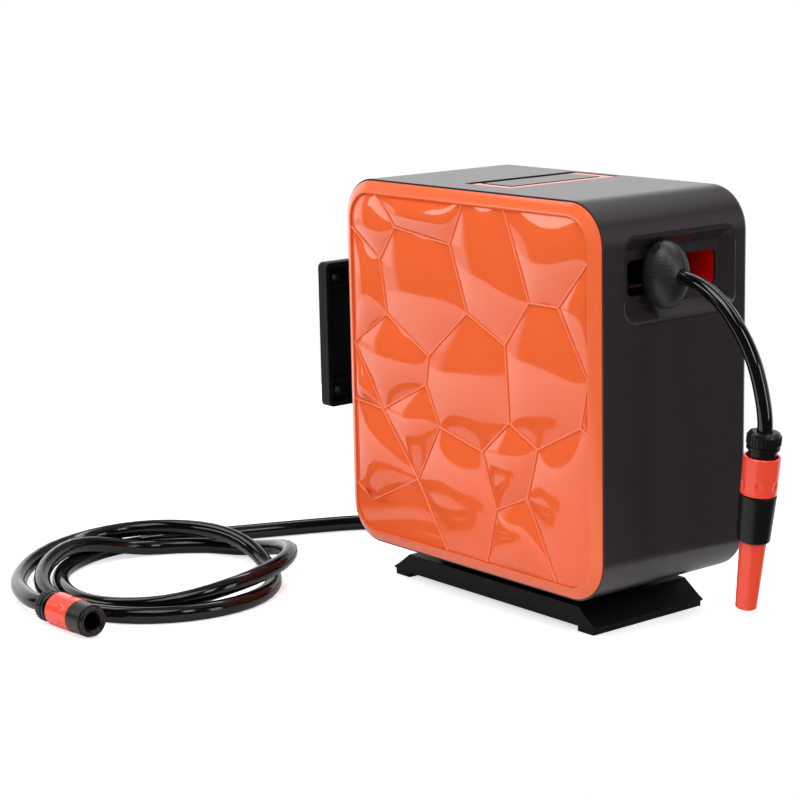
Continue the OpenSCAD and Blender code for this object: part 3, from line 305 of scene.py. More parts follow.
BALL = Finish("hose_stop", srgb(36, 36, 36), 0.42, tone=0.1, grain_height=0.02 * MM)
# The red liner is painted black as shade where its Y is less than 50 mm; behind that it keeps its own red.
RED = Finish("red_liner", srgb(245, 14, 6), 0.6, specular=0.1, tone=0.08, dark_before=50 * MM)
DRUM = Finish("drum_plastic", srgb(66, 66, 69), 0.5, tone=0.08, grain_height=0.04 * MM)
NYLON = Finish("natural_nylon", srgb(216, 210, 192), 0.45, tone=0.05, grain_height=0.02 * MM)
RUBBER = Finish("seal_rubber", srgb(24, 24, 24), 0.7, tone=0.1, grain_height=0.03 * MM)
STEEL = Finish(
    "turned_steel", srgb(186, 188, 190), 0.32, Surface.TURNED, metallic=1.0, tone=0.12, rough_spread=0.16
)
ALLOY = replace(STEEL, name="turned_alloy", color=srgb(202, 203, 206), roughness=0.36, tone=0.1)
BRASS = replace(STEEL, name="turned_brass", color=srgb(204, 166, 92), roughness=0.3, tone=0.14)
# Near black for the insides of screw recesses and holes: painted shade.
RECESS_SHADE = Finish("painted_recess_shade", srgb(14, 14, 14), 0.6, tone=0.1)

FINISH_OF_SLOT = {
    "shell": SHELL, "orange": ORANGE, "red": RED, "steel": STEEL, "alloy": ALLOY, "drum": DRUM,
    "nylon": NYLON, "brass": BRASS, "rubber": RUBBER, "hose": HOSE, "fitting": FITTING, "coral": CORAL,
    "stand": STAND,
}


def mesh_piece(name: str, points: list[Point], faces: Faces, finish: Finish, crease: float) -> Piece:
    """Makes a smooth-shaded mesh object at the origin, with its place in its mesh.

    Args:
        name: Name of the piece.
        points: Vertices in the solids' frame.
        faces: Vertex numbers of each face.
        finish: Finish of the whole piece.
        crease: Edges that turn by more than this angle, in degrees, stay sharp.

    Returns:
        The new object.
    """
    mesh = bpy.data.meshes.new(name)
    mesh.from_pydata([tuple(p) for p in points], [], faces)
    mesh.validate()
    mesh.polygons.foreach_set("use_smooth", [True] * len(mesh.polygons))
    mesh.set_sharp_from_angle(angle=math.radians(crease))
    mesh.materials.append(finish.material())
    return add_object(name, mesh)


class NodeForm:
    """A Geometry Nodes tree with named sizes, run on a mesh and turned into a plain mesh."""

    def __init__(self, name: str, sizes: dict[str, float]) -> None:
        """Makes the tree with its geometry sockets and one named input for each size.

        Args:
            name: Name of the tree.
            sizes: Named inputs and their values.
        """
        self.values = sizes
        self.tree = bpy.data.node_groups.new(name, "GeometryNodeTree")
        add_socket(self.tree, "Geometry", "Geometry")
        self.identifiers = {size: add_socket(self.tree, size, "Float") for size in sizes}
        add_socket(self.tree, "Geometry", "Geometry", "OUTPUT")
        self.sizes = self.tree.nodes.new("NodeGroupInput").outputs

    def node(self, kind: str, **inputs: Input) -> Node:
        """Adds a node to the tree, as add_node does."""
        return add_node(self.tree, kind, **inputs)

    def sweep(self, curve: Socket, radius: Socket, sides: int) -> Socket:
        """Sweeps a round section along a curve and closes its ends.

        Args:
            curve: The curve.
            radius: Radius of the section.
            sides: Sides of the section.

        Returns:
            The swept mesh.
        """
        section = self.node("GeometryNodeCurvePrimitiveCircle", Resolution=sides, Radius=radius)
        profile = section.outputs["Curve"]
        tube = self.node("GeometryNodeCurveToMesh", Curve=curve, Profile_Curve=profile, Fill_Caps=True)
        return tube.outputs["Mesh"]

    def end(self, geometry: Socket, finish: Finish) -> None:
        """Closes the tree with Realize Instances and Set Material.

        Args:
            geometry: What the tree has made.
            finish: Finish of all of it.
        """
        real = self.node("GeometryNodeRealizeInstances", Geometry=geometry).outputs["Geometry"]
        dressed = self.node("GeometryNodeSetMaterial", Geometry=real, Material=finish.material())
        self.node("NodeGroupOutput", Geometry=dressed.outputs["Geometry"])

    def run(self, name: str, mesh: bpy.types.Mesh, crease: float) -> Piece:
        """Runs the tree on a mesh and keeps the result as a plain mesh.

        Args:
            name: Name of the piece.
            mesh: Mesh that goes into the tree.
            crease: Edges that turn by more than this angle, in degrees, stay sharp.

        Returns:
            The new object, with no modifier left.
        """
        made = add_object(name, mesh)
        modifier = made.modifiers.new("form", "NODES")
        modifier.node_group = self.tree
        for size, value in self.values.items():
            modifier[self.identifiers[size]] = value
        graph = bpy.context.evaluated_depsgraph_get()
        result = bpy.data.meshes.new_from_object(made.evaluated_get(graph))
        made.modifiers.remove(modifier)
        made.data = result
        result.name = name
        result.polygons.foreach_set("use_smooth", [True] * len(result.polygons))
        result.set_sharp_from_angle(angle=math.radians(crease))
        return made


def smooth_between(four: tuple[Array, ...], share: float | Array) -> Array:
    """Goes from the second of four values to the third, on the smooth curve through all four.

    Args:
        four: The four values.
        share: How far to go, from 0 to 1.

    Returns:
        The value there.
    """
    p0, p1, p2, p3 = four
    first = (p2 - p0) * share
    second = (2 * p0 - 5 * p1 + 4 * p2 - p3) * share**2
    third = (3 * p1 - p0 - 3 * p2 + p3) * share**3
    return 0.5 * (2 * p1 + first + second + third)


def smooth_route(points: Array, steps: int) -> Array:
    """Runs a smooth curve through given points.

    Args:
        points: The chosen points.
        steps: Stretches that each gap between two points is cut into.

    Returns:
        Points on the curve, the chosen ones among them.
    """
    padded = np.vstack([2 * points[0] - points[1], points, 2 * points[-1] - points[-2]])
    fours = zip(padded, padded[1:], padded[2:], padded[3:])
    shares = np.arange(steps) / steps
    return np.array([*(smooth_between(four, share) for four in fours for share in shares), points[-1]])


def round_loop(width: float, height: float, radius: float, steps: int) -> Array:
    """Outline of a rectangle with round corners, anticlockwise from its right side.

    Args:
        width: Whole width.
        height: Whole height.
        radius: Corner radius.
        steps: Stretches of each corner.

    Returns:
        Points across and up.
    """
    points = []
    for quarter, (side, row) in enumerate(((1, 1), (-1, 1), (-1, -1), (1, -1))):
        for k in range(steps + 1):
            turn = math.radians(90 * quarter + 90 * k / steps)
            across = side * (width / 2 - radius) + radius * math.cos(turn)
            points.append((across, row * (height / 2 - radius) + radius * math.sin(turn)))
    return np.array(points)


def ring_faces(count: int, rows: int, closed: bool = False) -> Faces:
    """Faces with four corners between rings of points that follow one another.

    Args:
        count: Points in each ring.
        rows: Number of rings.
        closed: Whether the last ring joins the first.

    Returns:
        Vertex numbers of each face.
    """
    faces = []
    for row in range(rows if closed else rows - 1):
        here, there = row * count, (row + 1) % rows * count
        for i in range(count):
            after = (i + 1) % count
            faces.append([here + i, here + after, there + after, there + i])
    return faces


@dataclass
class FrontPanel:
    """The orange front: a rolled rim, pillow cells and the fine ridges between them.

    Knots are the places where ridges meet or end, in millimetres on a panel of the nominal size, and those
    from number inner_knots on lie on its edge. A cell is a row of knots, anticlockwise. A corner cell goes
    from its first knot round the panel's corner to its other knots.
    """

    rim_width: float = 14 * MM
    rim_land: float = 1 * MM
    rim_inset: float = 1.7 * MM
    rim_edge: float = 1.2 * MM
    rim_bulge: float = 0.6 * MM
    rim_points: int = 15
    rim_corner_steps: int = 14
    corner_radius: float = 42 * MM
    plate_gap: float = 0.3 * MM
    plate_corner_steps: int = 6
    face_depth: float = 2 * MM
    groove: float = 2.4 * MM
    crown: float = 6 * MM
    full_crown_at: float = 36 * MM
    cell_gap: float = 0.05 * MM
    cell_spacing: float = 2.5 * MM
    ring_shares: tuple[float, ...] = (
        1, 0.98, 0.95, 0.91, 0.86, 0.8, 0.73, 0.65, 0.56, 0.46, 0.35, 0.23, 0.11,
    )
    fence_spacing: float = 2 * MM
    pull_offset: float = 5 * MM
    pull_spacing: float = 4 * MM
    fit_cutoff: float = 1e-9
    bead_radius: float = 1.0 * MM
    bead_proud: float = 0.4 * MM
    bead_sides: int = 10
    nominal: Pair = (350.0, 352.0)
    knots: tuple[Pair, ...] = (
        (-105, 145), (-20, 135), (-130, 110), (-120, 55), (5, 70), (60, 45), (-55, 20), (95, 90), (135, 90),
        (-60, -10), (-130, -45), (-40, -50), (-75, -110), (25, -65), (-150, -145), (65, -30), (45, -120),
        (105, -50), (165, -20), (90, -100), (-135, 176), (0, 176), (60, 176), (-175, 140), (-175, 20),
        (-175, -40), (-175, -130), (175, 135), (175, 25), (175, -25), (-30, -176), (30, -176), (130, -176),
    )
    cells: tuple[tuple[int, ...], ...] = (
        (20, 0, 1, 21), (21, 1, 4, 5, 7, 22), (23, 24, 3, 2), (0, 2, 3, 6, 4, 1), (8, 28, 27),
        (3, 24, 10, 9, 6), (24, 25, 10), (4, 6, 9, 11, 13, 15, 5), (7, 5, 15, 17, 18, 28, 8),
        (9, 10, 12, 11), (25, 26, 14, 12, 10), (11, 12, 30, 31, 16, 13), (15, 13, 16, 19, 17),
        (18, 29, 28), (16, 31, 32, 19),
    )
    corner_cells: tuple[tuple[int, ...], ...] = (
        (27, 22, 7, 8), (20, 23, 2, 0), (26, 30, 12, 14), (32, 29, 18, 17, 19),
    )
    inner_knots: int = 20

    def __post_init__(self) -> None:
        """Takes the panel's place and size from its solid."""
        low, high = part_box("facet_panel")
        rim_low, rim_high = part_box("front_bezel")
        self.width, self.height = high.x - low.x, high.z - low.z
        self.middle = (low.z + high.z) / 2
        self.back = high.y
        self.face = rim_low.y + self.face_depth
        self.rim_front, self.rim_back = rim_low.y, rim_high.y
        self.outer = (rim_high.x - rim_low.x, rim_high.z - rim_low.z)
        shares = (self.width / self.nominal[0], self.height / self.nominal[1])
        self.places = np.array([(x * shares[0], z * shares[1]) for x, z in self.knots])

    def _plate_edge(self) -> Array:
        """Outline of the plate under the cells."""
        radius = self.corner_radius - self.rim_width - self.plate_gap
        return round_loop(self.width, self.height, radius, self.plate_corner_steps)

    def outlines(self) -> list[Array]:
        """Outlines of all cells, each drawn in by half a groove.

        Returns:
            One outline for each cell.
        """
        loops = [self.places[list(cell)] for cell in self.cells]
        arcs = np.split(self._plate_edge(), len(self.corner_cells))
        for arc, cell in zip(arcs, self.corner_cells):
            first, *others = self.places[list(cell)]
            loops.append(np.vstack([first, arc, others]))
        return [self._drawn_in(loop, self.groove / 2) for loop in loops]

    @staticmethod
    def _drawn_in(loop: Array, inset: float) -> Array:
        """Moves an anticlockwise outline inwards.

        Args:
            loop: The outline's points.
            inset: How far its sides move, or less than zero to move them outwards.

        Returns:
            The moved outline.
        """
        sides = np.roll(loop, -1, axis=0) - loop
        sides /= np.linalg.norm(sides, axis=1)[:, None]
        after = np.stack([-sides[:, 1], sides[:, 0]], axis=1)
        before = np.roll(after, 1, axis=0)
        lean = 1 + (after * before).sum(axis=1)
        return loop + inset * (after + before) / lean[:, None]

    @staticmethod
    def _resampled(loop: Array, spacing: float) -> Array:
        """Puts even points on an outline and keeps its corners.

        Args:
            loop: The outline.
            spacing: Wanted distance between points.

        Returns:
            The points.
        """
        out = []
        for a, b in zip(loop, np.roll(loop, -1, axis=0)):
            count = max(1, round(float(np.linalg.norm(b - a)) / spacing))
            out.extend(a + (b - a) * k / count for k in range(count))
        return np.array(out)

    @staticmethod
    def _pull_terms(places: Array, pulls: Array) -> Array:
        """Logarithms of the distances from places to pulls, and a constant.

        Args:
            places: Places on the panel.
            pulls: Centres of the logarithms.

        Returns:
            One row for each place.
        """
        far = np.linalg.norm(places[:, None] - pulls[None], axis=2)
        return np.column_stack([np.log(far / MM), np.ones(len(places))])

    def _pressed(self, loop: Array, flat: Array) -> Array:
        """Height of a skin that is held at an outline and pressed out from behind.

        The skin is a round dome and a fitted sum of logarithms whose centres lie outside the outline.

        Args:
            loop: The outline.
            flat: Places inside it.

        Returns:
            Heights at the places, up to a factor.
        """
        fence = self._resampled(loop, self.fence_spacing)
        pulls = self._resampled(self._drawn_in(loop, -self.pull_offset), self.pull_spacing)
        origin = loop.mean(axis=0)
        held, dome = ((((p - origin) / MM) ** 2).sum(axis=1) / 4 for p in (fence, flat))
        weights = np.linalg.lstsq(self._pull_terms(fence, pulls), held, rcond=self.fit_cutoff)[0]
        return np.maximum(self._pull_terms(flat, pulls) @ weights - dome, 0)

    def _pillow(self, loop: Array) -> tuple[Array, Faces]:
        """One pillow: rings from its outline to its middle, lifted as a pressed skin is.

        Args:
            loop: Outline of the cell.

        Returns:
            Points across, up and out of the panel, and faces.
        """
        rim = self._resampled(loop, self.cell_spacing)
        middle = (loop.max(axis=0) + loop.min(axis=0)) / 2
        flat = np.concatenate([middle + s * (rim - middle) for s in self.ring_shares] + [middle[None]])
        rise = self._pressed(loop, flat)
        rise[: len(rim)] = 0
        size = float(np.linalg.norm(loop - middle, axis=1).min())
        lift = self.crown * min(1.0, size / self.full_crown_at) * rise / rise.max()
        count, rings = len(rim), len(self.ring_shares)
        last = (rings - 1) * count
        faces = ring_faces(count, rings)
        faces += [[last + i, last + (i + 1) % count, rings * count] for i in range(count)]
        return np.column_stack([flat, lift]), faces

    def build_cells(self) -> Piece:
        """Builds the plate with its pillows, in place of the panel's solid.

        Returns:
            The plate.
        """
        edge = self._plate_edge()
        count = len(edge)
        points = [(x, y, z + self.middle) for y in (self.face, self.back) for x, z in edge]
        faces = ring_faces(count, 2)
        faces += [list(range(count))[::-1], [count + i for i in range(count)]]
        faces = [f[::-1] for f in faces]
        for loop in self.outlines():
            cell, cell_faces = self._pillow(loop)
            start = len(points)
            points += [(x, self.face - self.cell_gap - lift, z + self.middle) for x, z, lift in cell]
            faces += [[start + i for i in f] for f in cell_faces]
        made = mesh_piece("panel_cells", points, faces, ORANGE, crease=50)
        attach(made, "casing")
        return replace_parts(made, "facet_panel")

    def build_beads(self) -> Piece:
        """Builds the fine ridges between the cells, swept along the cells' shared sides.

        Returns:
            The ridges as one piece.
        """
        pairs = set()
        for loop in self.cells + self.corner_cells:
            for a, b in zip(loop, loop[1:] + loop[:1]):
                if min(a, b) < self.inner_knots:
                    pairs.add((min(a, b), max(a, b)))
        mesh = bpy.data.meshes.new("ridge_lines")
        places = [(x, self.face - self.bead_proud, z + self.middle) for x, z in self.places]
        mesh.from_pydata(places, sorted(pairs), [])
        form = NodeForm("ridge_beads", {"Bead Radius": self.bead_radius})
        line = form.node("GeometryNodeMeshToCurve", Mesh=form.sizes["Geometry"]).outputs["Curve"]
        form.end(form.sweep(line, form.sizes["Bead Radius"], self.bead_sides), RIDGE)
        made = form.run("panel_ridges", mesh, crease=40)
        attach(made, "casing")
        return made

    def build_rim(self) -> Piece:
        """Builds the rolled rim as one smooth ring, in place of its solid.

        Returns:
            The rim.
        """
        proud = self.rim_back - self.rim_front
        roll = self.rim_width - self.rim_land - self.rim_inset
        section = [(self.rim_inset, self.rim_back)]
        for share in np.linspace(0, 1, self.rim_points):
            bulge = self.rim_bulge * 4 * share * (1 - share)
            front = self.rim_back - self.rim_edge - (proud - self.rim_edge) * share - bulge
            section.append((self.rim_inset + roll * share, front))
        section += [(self.rim_width, self.rim_front), (self.rim_width, self.rim_back)]
        width, height = self.outer
        points = []
        for inset, y in section:
            radius = self.corner_radius - inset
            loop = round_loop(width - 2 * inset, height - 2 * inset, radius, self.rim_corner_steps)
            points += [(x, y, z + self.middle) for x, z in loop]
        faces = ring_faces(len(loop), len(section), closed=True)
        made = mesh_piece("rolled_rim", points, [f[::-1] for f in faces], RIM, crease=40)
        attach(made, "casing")
        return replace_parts(made, "front_bezel")


@dataclass
class HoseCoilLie:
    """How the leader hose lies in its coil on the floor, in millimetres and degrees.

    The radii and heights are given at every step of the turn, from its start.
    """

    middle: Pair = (-284, -288)
    start: float = 150
    stop: float = 980
    step: float = 45
    radii: tuple[float, ...] = (
        148, 118, 98, 101, 112, 128, 141, 140, 124, 116, 118, 125, 134, 134, 120, 120, 138, 142, 142, 148,
    )
    heights: tuple[float, ...] = (
        8.5, 8.5, 8.5, 8.5, 14, 28, 30, 9, 9, 27, 18, 8.5, 8.5, 8.5, 8.5, 27, 28, 22, 14, 18,
    )
    turn_points: int = 24

    def points(self, lowest: float) -> Array:
        """Points of the coil in millimetres.

        Args:
            lowest: Height of the hose's middle where it lies on the floor.

        Returns:
            The points, from the way in to the loose end.
        """
        count = round((self.stop - self.start) / FULL_TURN * self.turn_points)
        angles = self.start + (self.stop - self.start) * np.arange(count + 1) / count
        places = (angles - self.start) / self.step
        radius, height = (self._between(np.array(row), places) for row in (self.radii, self.heights))
        turn = np.radians(angles)
        x = self.middle[0] + radius * np.cos(turn)
        y = self.middle[1] + radius * np.sin(turn)
        return np.column_stack([x, y, np.maximum(lowest, height)])

    @staticmethod
    def _between(row: Array, places: Array) -> Array:
        """Smooth values between a row's entries.

        Args:
            row: The entries.
            places: Where to read the row, counted in entries.

        Returns:
            One value for each place.
        """
        last = len(row) - 1
        at = np.minimum(np.floor(places).astype(int), last - 1)
        before, after = np.maximum(at - 1, 0), np.minimum(at + 2, last)
        return smooth_between((row[before], row[at], row[at + 1], row[after]), places - at)


@dataclass
class NutRibs:
    """Fine ribs round a hose nut, set out by one Geometry Nodes tree."""

    count: int = 30
    nut_radius: float = 15.25 * MM
    rib_radius: float = 0.7 * MM
    rib_length: float = 8.2 * MM
    rib_sides: int = 10
    from_mouth: float = 7.5 * MM

    def build(self, name: str, mouth: Vector, ahead: Vector, body: str) -> Piece:
        """Puts the ribs on one nut.

        Args:
            name: Name of the piece.
            mouth: Middle of the nut's open end.
            ahead: Way from there along the nut.
            body: Body that the nut moves with.

        Returns:
            The ribs as one piece.
        """
        values = {"Nut Radius": self.nut_radius, "Rib Radius": self.rib_radius}
        form = NodeForm(name + "_form", {**values, "Rib Length": self.rib_length})
        sizes = form.sizes
        ring = form.node("GeometryNodeMeshCircle", Vertices=self.count, Radius=sizes["Nut Radius"])
        rib = form.node("GeometryNodeMeshCylinder", Vertices=self.rib_sides, Radius=sizes["Rib Radius"])
        set_inputs(rib, Depth=sizes["Rib Length"])
        ribs = form.node("GeometryNodeInstanceOnPoints", Points=ring.outputs["Mesh"])
        set_inputs(ribs, Instance=rib.outputs["Mesh"])
        placed = form.node("GeometryNodeTransform", Geometry=ribs.outputs["Instances"])
        turn = ahead.to_track_quat("Z", "Y").to_euler()
        set_inputs(placed, Rotation=turn, Translation=mouth + self.from_mouth * ahead)
        form.end(placed.outputs["Geometry"], FITTING)
        made = form.run(name, bpy.data.meshes.new(name + "_seed"), crease=40)
        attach(made, body)
        return made


@dataclass
class Hoses:
    """The delivery hose with its nozzle, the leader hose with its connector, and the hose on the drum.

    The routes, mouths and endings are in millimetres. The delivery hose stays in one plane across Y.
    """

    delivery_diameter: float = 14 * MM
    leader_diameter: float = 17 * MM
    section_steps: int = 6
    guide_y: float = -22
    nozzle_mouth: Pair = (318, 219)
    nozzle_lean: float = 7
    connector_mouth: Point = (-256, -436, 17)
    connector_turn: float = 2
    connector_ending: tuple[Pair, ...] = ((-24, -1), (-2, 0), (14, 0))
    winding_radius: float = 118 * MM
    winding_gap: float = 0.8 * MM
    winding_steps: int = 48
    winding_sides: int = 14
    lie: HoseCoilLie = field(default_factory=HoseCoilLie)
    delivery_steps: int = 3
    delivery_route: tuple[Pair, ...] = (
        (62, 348), (82, 348), (104, 348), (126, 348), (148, 348), (170, 348), (192, 348), (212, 348),
        (227, 346), (241, 342), (255, 335), (269, 325), (282, 312), (294, 297), (304, 280), (311, 262),
        (316, 243), (318, 229), (318, 219), (317, 209),
    )
    leader_steps: int = 2
    leader_route: tuple[Point, ...] = (
        (0, 124, 191), (0, 124, 165), (0, 124, 135), (-2, 124, 108), (-9, 124, 81), (-22, 124, 56),
        (-42, 124, 34), (-68, 123, 18), (-98, 121, 10), (-130, 117, 8.5), (-164, 110, 8.5), (-198, 100, 8.5),
        (-230, 86, 8.5), (-260, 68, 8.5), (-286, 47, 8.5), (-308, 24, 8.5), (-325, 0, 8.5), (-340, -30, 8.5),
        (-354, -62, 8.5), (-367, -92, 8.5), (-379, -120, 8.5), (-390, -148, 8.5), (-400, -176, 8.5),
    )

    def _connector_way(self) -> Point:
        """Way that the tap connector points, flat on the floor."""
        turn = math.radians(self.connector_turn)
        return (math.cos(turn), math.sin(turn), 0)

    def build_delivery(self) -> Piece:
        """Builds the delivery hose from the drum to the nozzle.


        Returns:
            The hose.
        """
        route = np.array([(x, self.guide_y, z) for x, z in self.delivery_route]) * MM
        path = smooth_route(route, self.delivery_steps)
        made = self._tube("hose_to_nozzle", path, self.delivery_diameter, HOSE, "guide")
        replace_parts(made, "delivery_hose")
        return made

    def build_leader(self) -> Piece:
        """Builds the leader hose from the inlet, along the floor and round its coil to the connector.


        Returns:
            The hose.
        """
        ahead, mouth = np.array(self._connector_way()), np.array(self.connector_mouth)
        ending = [mouth + along * ahead + (0, 0, up) for along, up in self.connector_ending]
        coil = self.lie.points(self.leader_diameter / MM / 2)
        path = smooth_route(np.vstack([self.leader_route, coil, ending]) * MM, self.leader_steps)
        made = self._tube("hose_from_tap", path, self.leader_diameter, LEADER, "casing")
        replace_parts(made, "leader_hose", "leader_coil")
        return made

    def _tube(self, name: str, path: Array, diameter: float, finish: Finish, body: str) -> Piece:
        """Makes a round hose along a path as a curve of one spline.

        Args:
            name: Name of the piece.
            path: Points of its middle.
            diameter: Outer diameter.
            finish: Finish of the hose.
            body: Body that it moves with.

        Returns:
            The curve.
        """
        curve = bpy.data.curves.new(name, "CURVE")
        curve.dimensions = "3D"
        curve.bevel_depth = diameter / 2
        curve.bevel_resolution = self.section_steps
        curve.use_fill_caps = True
        curve.twist_mode = "MINIMUM"
        spline = curve.splines.new("POLY")
        spline.points.add(len(path) - 1)
        spline.points.foreach_set("co", np.column_stack([path, np.ones(len(path))]).ravel())
        spline.use_smooth = True
        curve.materials.append(finish.material())
        made = add_object(name, curve)
        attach(made, body)
        return made

    def build_winding(self) -> Piece:
        """Builds the outer layer of hose on the drum as one even helix, in place of its solid.

        Returns:
            The layer.
        """
        low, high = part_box("hose_winding")
        radius = self.delivery_diameter / 2
        rise = high.y - low.y - self.delivery_diameter
        turns = rise / (self.delivery_diameter + self.winding_gap)
        values = {"Turns": turns, "Rise": rise, "Lay Radius": self.winding_radius, "Hose Radius": radius}
        form = NodeForm("wound_hose", values)
        sizes = form.sizes
        helix = form.node("GeometryNodeCurveSpiral", Resolution=self.winding_steps, Rotations=sizes["Turns"])
        ends = {"Start_Radius": sizes["Lay Radius"], "End_Radius": sizes["Lay Radius"]}
        set_inputs(helix, Height=sizes["Rise"], **ends)
        hose = form.sweep(helix.outputs["Curve"], sizes["Hose Radius"], self.winding_sides)
        turned = form.node("GeometryNodeTransform", Geometry=hose, Rotation=(math.radians(-90), 0, 0))
        set_inputs(turned, Translation=(0, low.y + radius, (low.z + high.z) / 2))
        form.end(turned.outputs["Geometry"], HOSE)
        made = form.run("wound_layer", bpy.data.meshes.new("winding_seed"), crease=50)
        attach(made, "drum")
        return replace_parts(made, "hose_winding")

    def build_ribs(self) -> list[Piece]:
        """Puts fine ribs on the nuts of both hoses.

        Returns:
            The two pieces.
        """
        lean = math.radians(self.nozzle_lean)
        down = Vector((-math.sin(lean), 0, -math.cos(lean)))
        x, z = self.nozzle_mouth
        nozzle = Vector((x * MM, self.guide_y * MM, z * MM))
        connector = Vector([c * MM for c in self.connector_mouth])
        ribs = NutRibs()
        return [
            ribs.build("nozzle_nut_ribs", nozzle, down, "guide"),
            ribs.build("leader_nut_ribs", connector, Vector(self._connector_way()), "casing"),
        ]


@dataclass
class ScrewRecesses:
    """Cross recesses on the screw heads of the rear cover and the swivel arm, placed by Geometry Nodes as
    near-black bars: painted shade.

    The cover has three rows of two screws, and the middle row's stand further apart.
    """

    length: float = 4.4 * MM
    width: float = 1.1 * MM
    depth: float = 0.3 * MM
    cover_face: float = 95.6 * MM
    cover_reach: Point = (167 * MM, 173 * MM, 167 * MM)
    cover_rise: float = 168 * MM
    arm_face: float = -197.6 * MM
    arm_reach: float = 35 * MM
    arm_rise: float = 46 * MM

    def build(self) -> list[Piece]:
        """Puts recesses on the screws of the cover and of the arm.

        Returns:
            One piece for the cover and one for the arm.
        """
        cover, arm = (sum(c.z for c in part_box(node)) / 2 for node in ("rear_cover", "swivel_arm"))
        on_cover = [
            (side * reach, self.cover_face, cover + row * self.cover_rise)
            for side in (-1, 1)
            for row, reach in zip((-1, 0, 1), self.cover_reach)
        ]
        on_arm = [
            (self.arm_face, side * self.arm_reach, arm + row * self.arm_rise)
            for side in (-1, 1)
            for row in (-1, 1)
        ]
        return [
            self._build("cover_recesses", on_cover, (0, 1, 0)),
            self._build("arm_recesses", on_arm, (-1, 0, 0)),
        ]

    def _build(self, name: str, places: list[Point], facing: Point) -> Piece:
        """Puts a recess on each screw head.

        Args:
            name: Name of the piece.
            places: Middles of the heads' faces.
            facing: Way the heads face.

        Returns:
            The recesses as one piece.
        """
        mesh = bpy.data.meshes.new(name + "_places")
        mesh.from_pydata(places, [], [])
        form = NodeForm(name + "_form", {"Length": self.length, "Width": self.width, "Depth": self.depth})
        joined = form.node("GeometryNodeJoinGeometry")
        for across, along in (("Length", "Width"), ("Width", "Length")):
            sides = {"X": form.sizes[across], "Y": form.sizes[along], "Z": form.sizes["Depth"]}
            shape = form.node("ShaderNodeCombineXYZ", **sides)
            bar = form.node("GeometryNodeMeshCube", Size=shape.outputs["Vector"])
            form.tree.links.new(bar.outputs["Mesh"], joined.inputs["Geometry"])
        set_out = form.node("GeometryNodeInstanceOnPoints", Points=form.sizes["Geometry"])
        turn = Vector(facing).to_track_quat("Z", "Y").to_euler()
        set_inputs(set_out, Instance=joined.outputs["Geometry"], Rotation=turn)
        # The bars are near black: painted shade of the hollows in the heads.
        form.end(set_out.outputs["Instances"], RECESS_SHADE)
        made = form.run(name, mesh, crease=30)
        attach(made, "casing")
        return made


@dataclass
class Solids:
    """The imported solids, dressed as they are: a finish for each and softened edges."""

    edge_radius: float = 0.6 * MM
    edge_angle: float = 38
    edge_steps: int = 2
    weld_gap: float = 0.01 * MM
    softened: tuple[str, ...] = (
        "base_stand", "wall_plate", "swivel_arm", "carry_handle", "outlet_surround",
        "nozzle_grip", "nozzle_tip",
    )
    # The screws inside the stop ball's hole take the near-black recess colour: painted shade of the hole.
    own_finish: dict[str, Finish] = field(
        default_factory=lambda: {"ball_upper": BALL, "ball_lower": BALL, "ball_screws": RECESS_SHADE}
    )

    def dress(self, frame: dict) -> None:
        """Gives every solid its slot's finish, or its own.
        """
        slots = {p["node"]: p["material_slot"] for p in frame["record"]["subparts"]}
        for name, solid in frame["nodes"].items():
            finish = self.own_finish.get(name, FINISH_OF_SLOT[slots[name]])
            solid.data.materials.clear()
            solid.data.materials.append(finish.material())
            if name in self.softened:
                self._soften(solid)
            LOG.info("%s: %s", name, finish.name)

    def _soften(self, solid: Piece) -> None:
        """Rounds a solid's sharp edges a little with modifiers.

        Args:
            solid: The solid.
        """
        solid.data.polygons.foreach_set("use_smooth", [True] * len(solid.data.polygons))
        weld = solid.modifiers.new("weld", "WELD")
        weld.merge_threshold = self.weld_gap
        bevel = solid.modifiers.new("edges", "BEVEL")
        bevel.width = self.edge_radius
        bevel.segments = self.edge_steps
        bevel.limit_method = "ANGLE"
        bevel.angle_limit = math.radians(self.edge_angle)
        bevel.harden_normals = True
        solid.modifiers.new("normals", "WEIGHTED_NORMAL").keep_sharp = True


@dataclass(frozen=True)
class Ramp:
    """A change from one level to another while a value goes from start to stop."""

    start: float
    stop: float
    before: float
    after: float
    smooth: bool = True

    def on(self, tree: Tree, value: Socket) -> Socket:
        """Adds the ramp to a tree.

        Args:
            tree: Tree of the floor's material or of the world.
            value: The value that it follows.

        Returns:
            The level.
        """
        ends = {"From_Min": self.start, "From_Max": self.stop, "To_Min": self.before, "To_Max": self.after}
        made = add_node(tree, "ShaderNodeMapRange", Value=value, **ends)
        made.interpolation_type = "SMOOTHSTEP" if self.smooth else "LINEAR"
        return made.outputs["Result"]


@dataclass(frozen=True)
class Lamp:
    """One soft rectangular lamp: where it hangs, what it faces, its size and its power."""

    name: str
    place: Point
    aim: Point
    size: Pair
    watts: float
    mirrored: bool = True

    def hang(self) -> None:
        """Adds the lamp to the scene. Shiny surfaces show it only if it is mirrored."""
        data = bpy.data.lights.new(self.name, "AREA")
        data.shape = "RECTANGLE"
        data.size, data.size_y = self.size
        data.energy = self.watts
        lamp = add_object(self.name, data)
        lamp.location = self.place
        lamp.rotation_euler = (Vector(self.aim) - Vector(self.place)).to_track_quat("-Z", "Y").to_euler()
        lamp.visible_glossy = self.mirrored


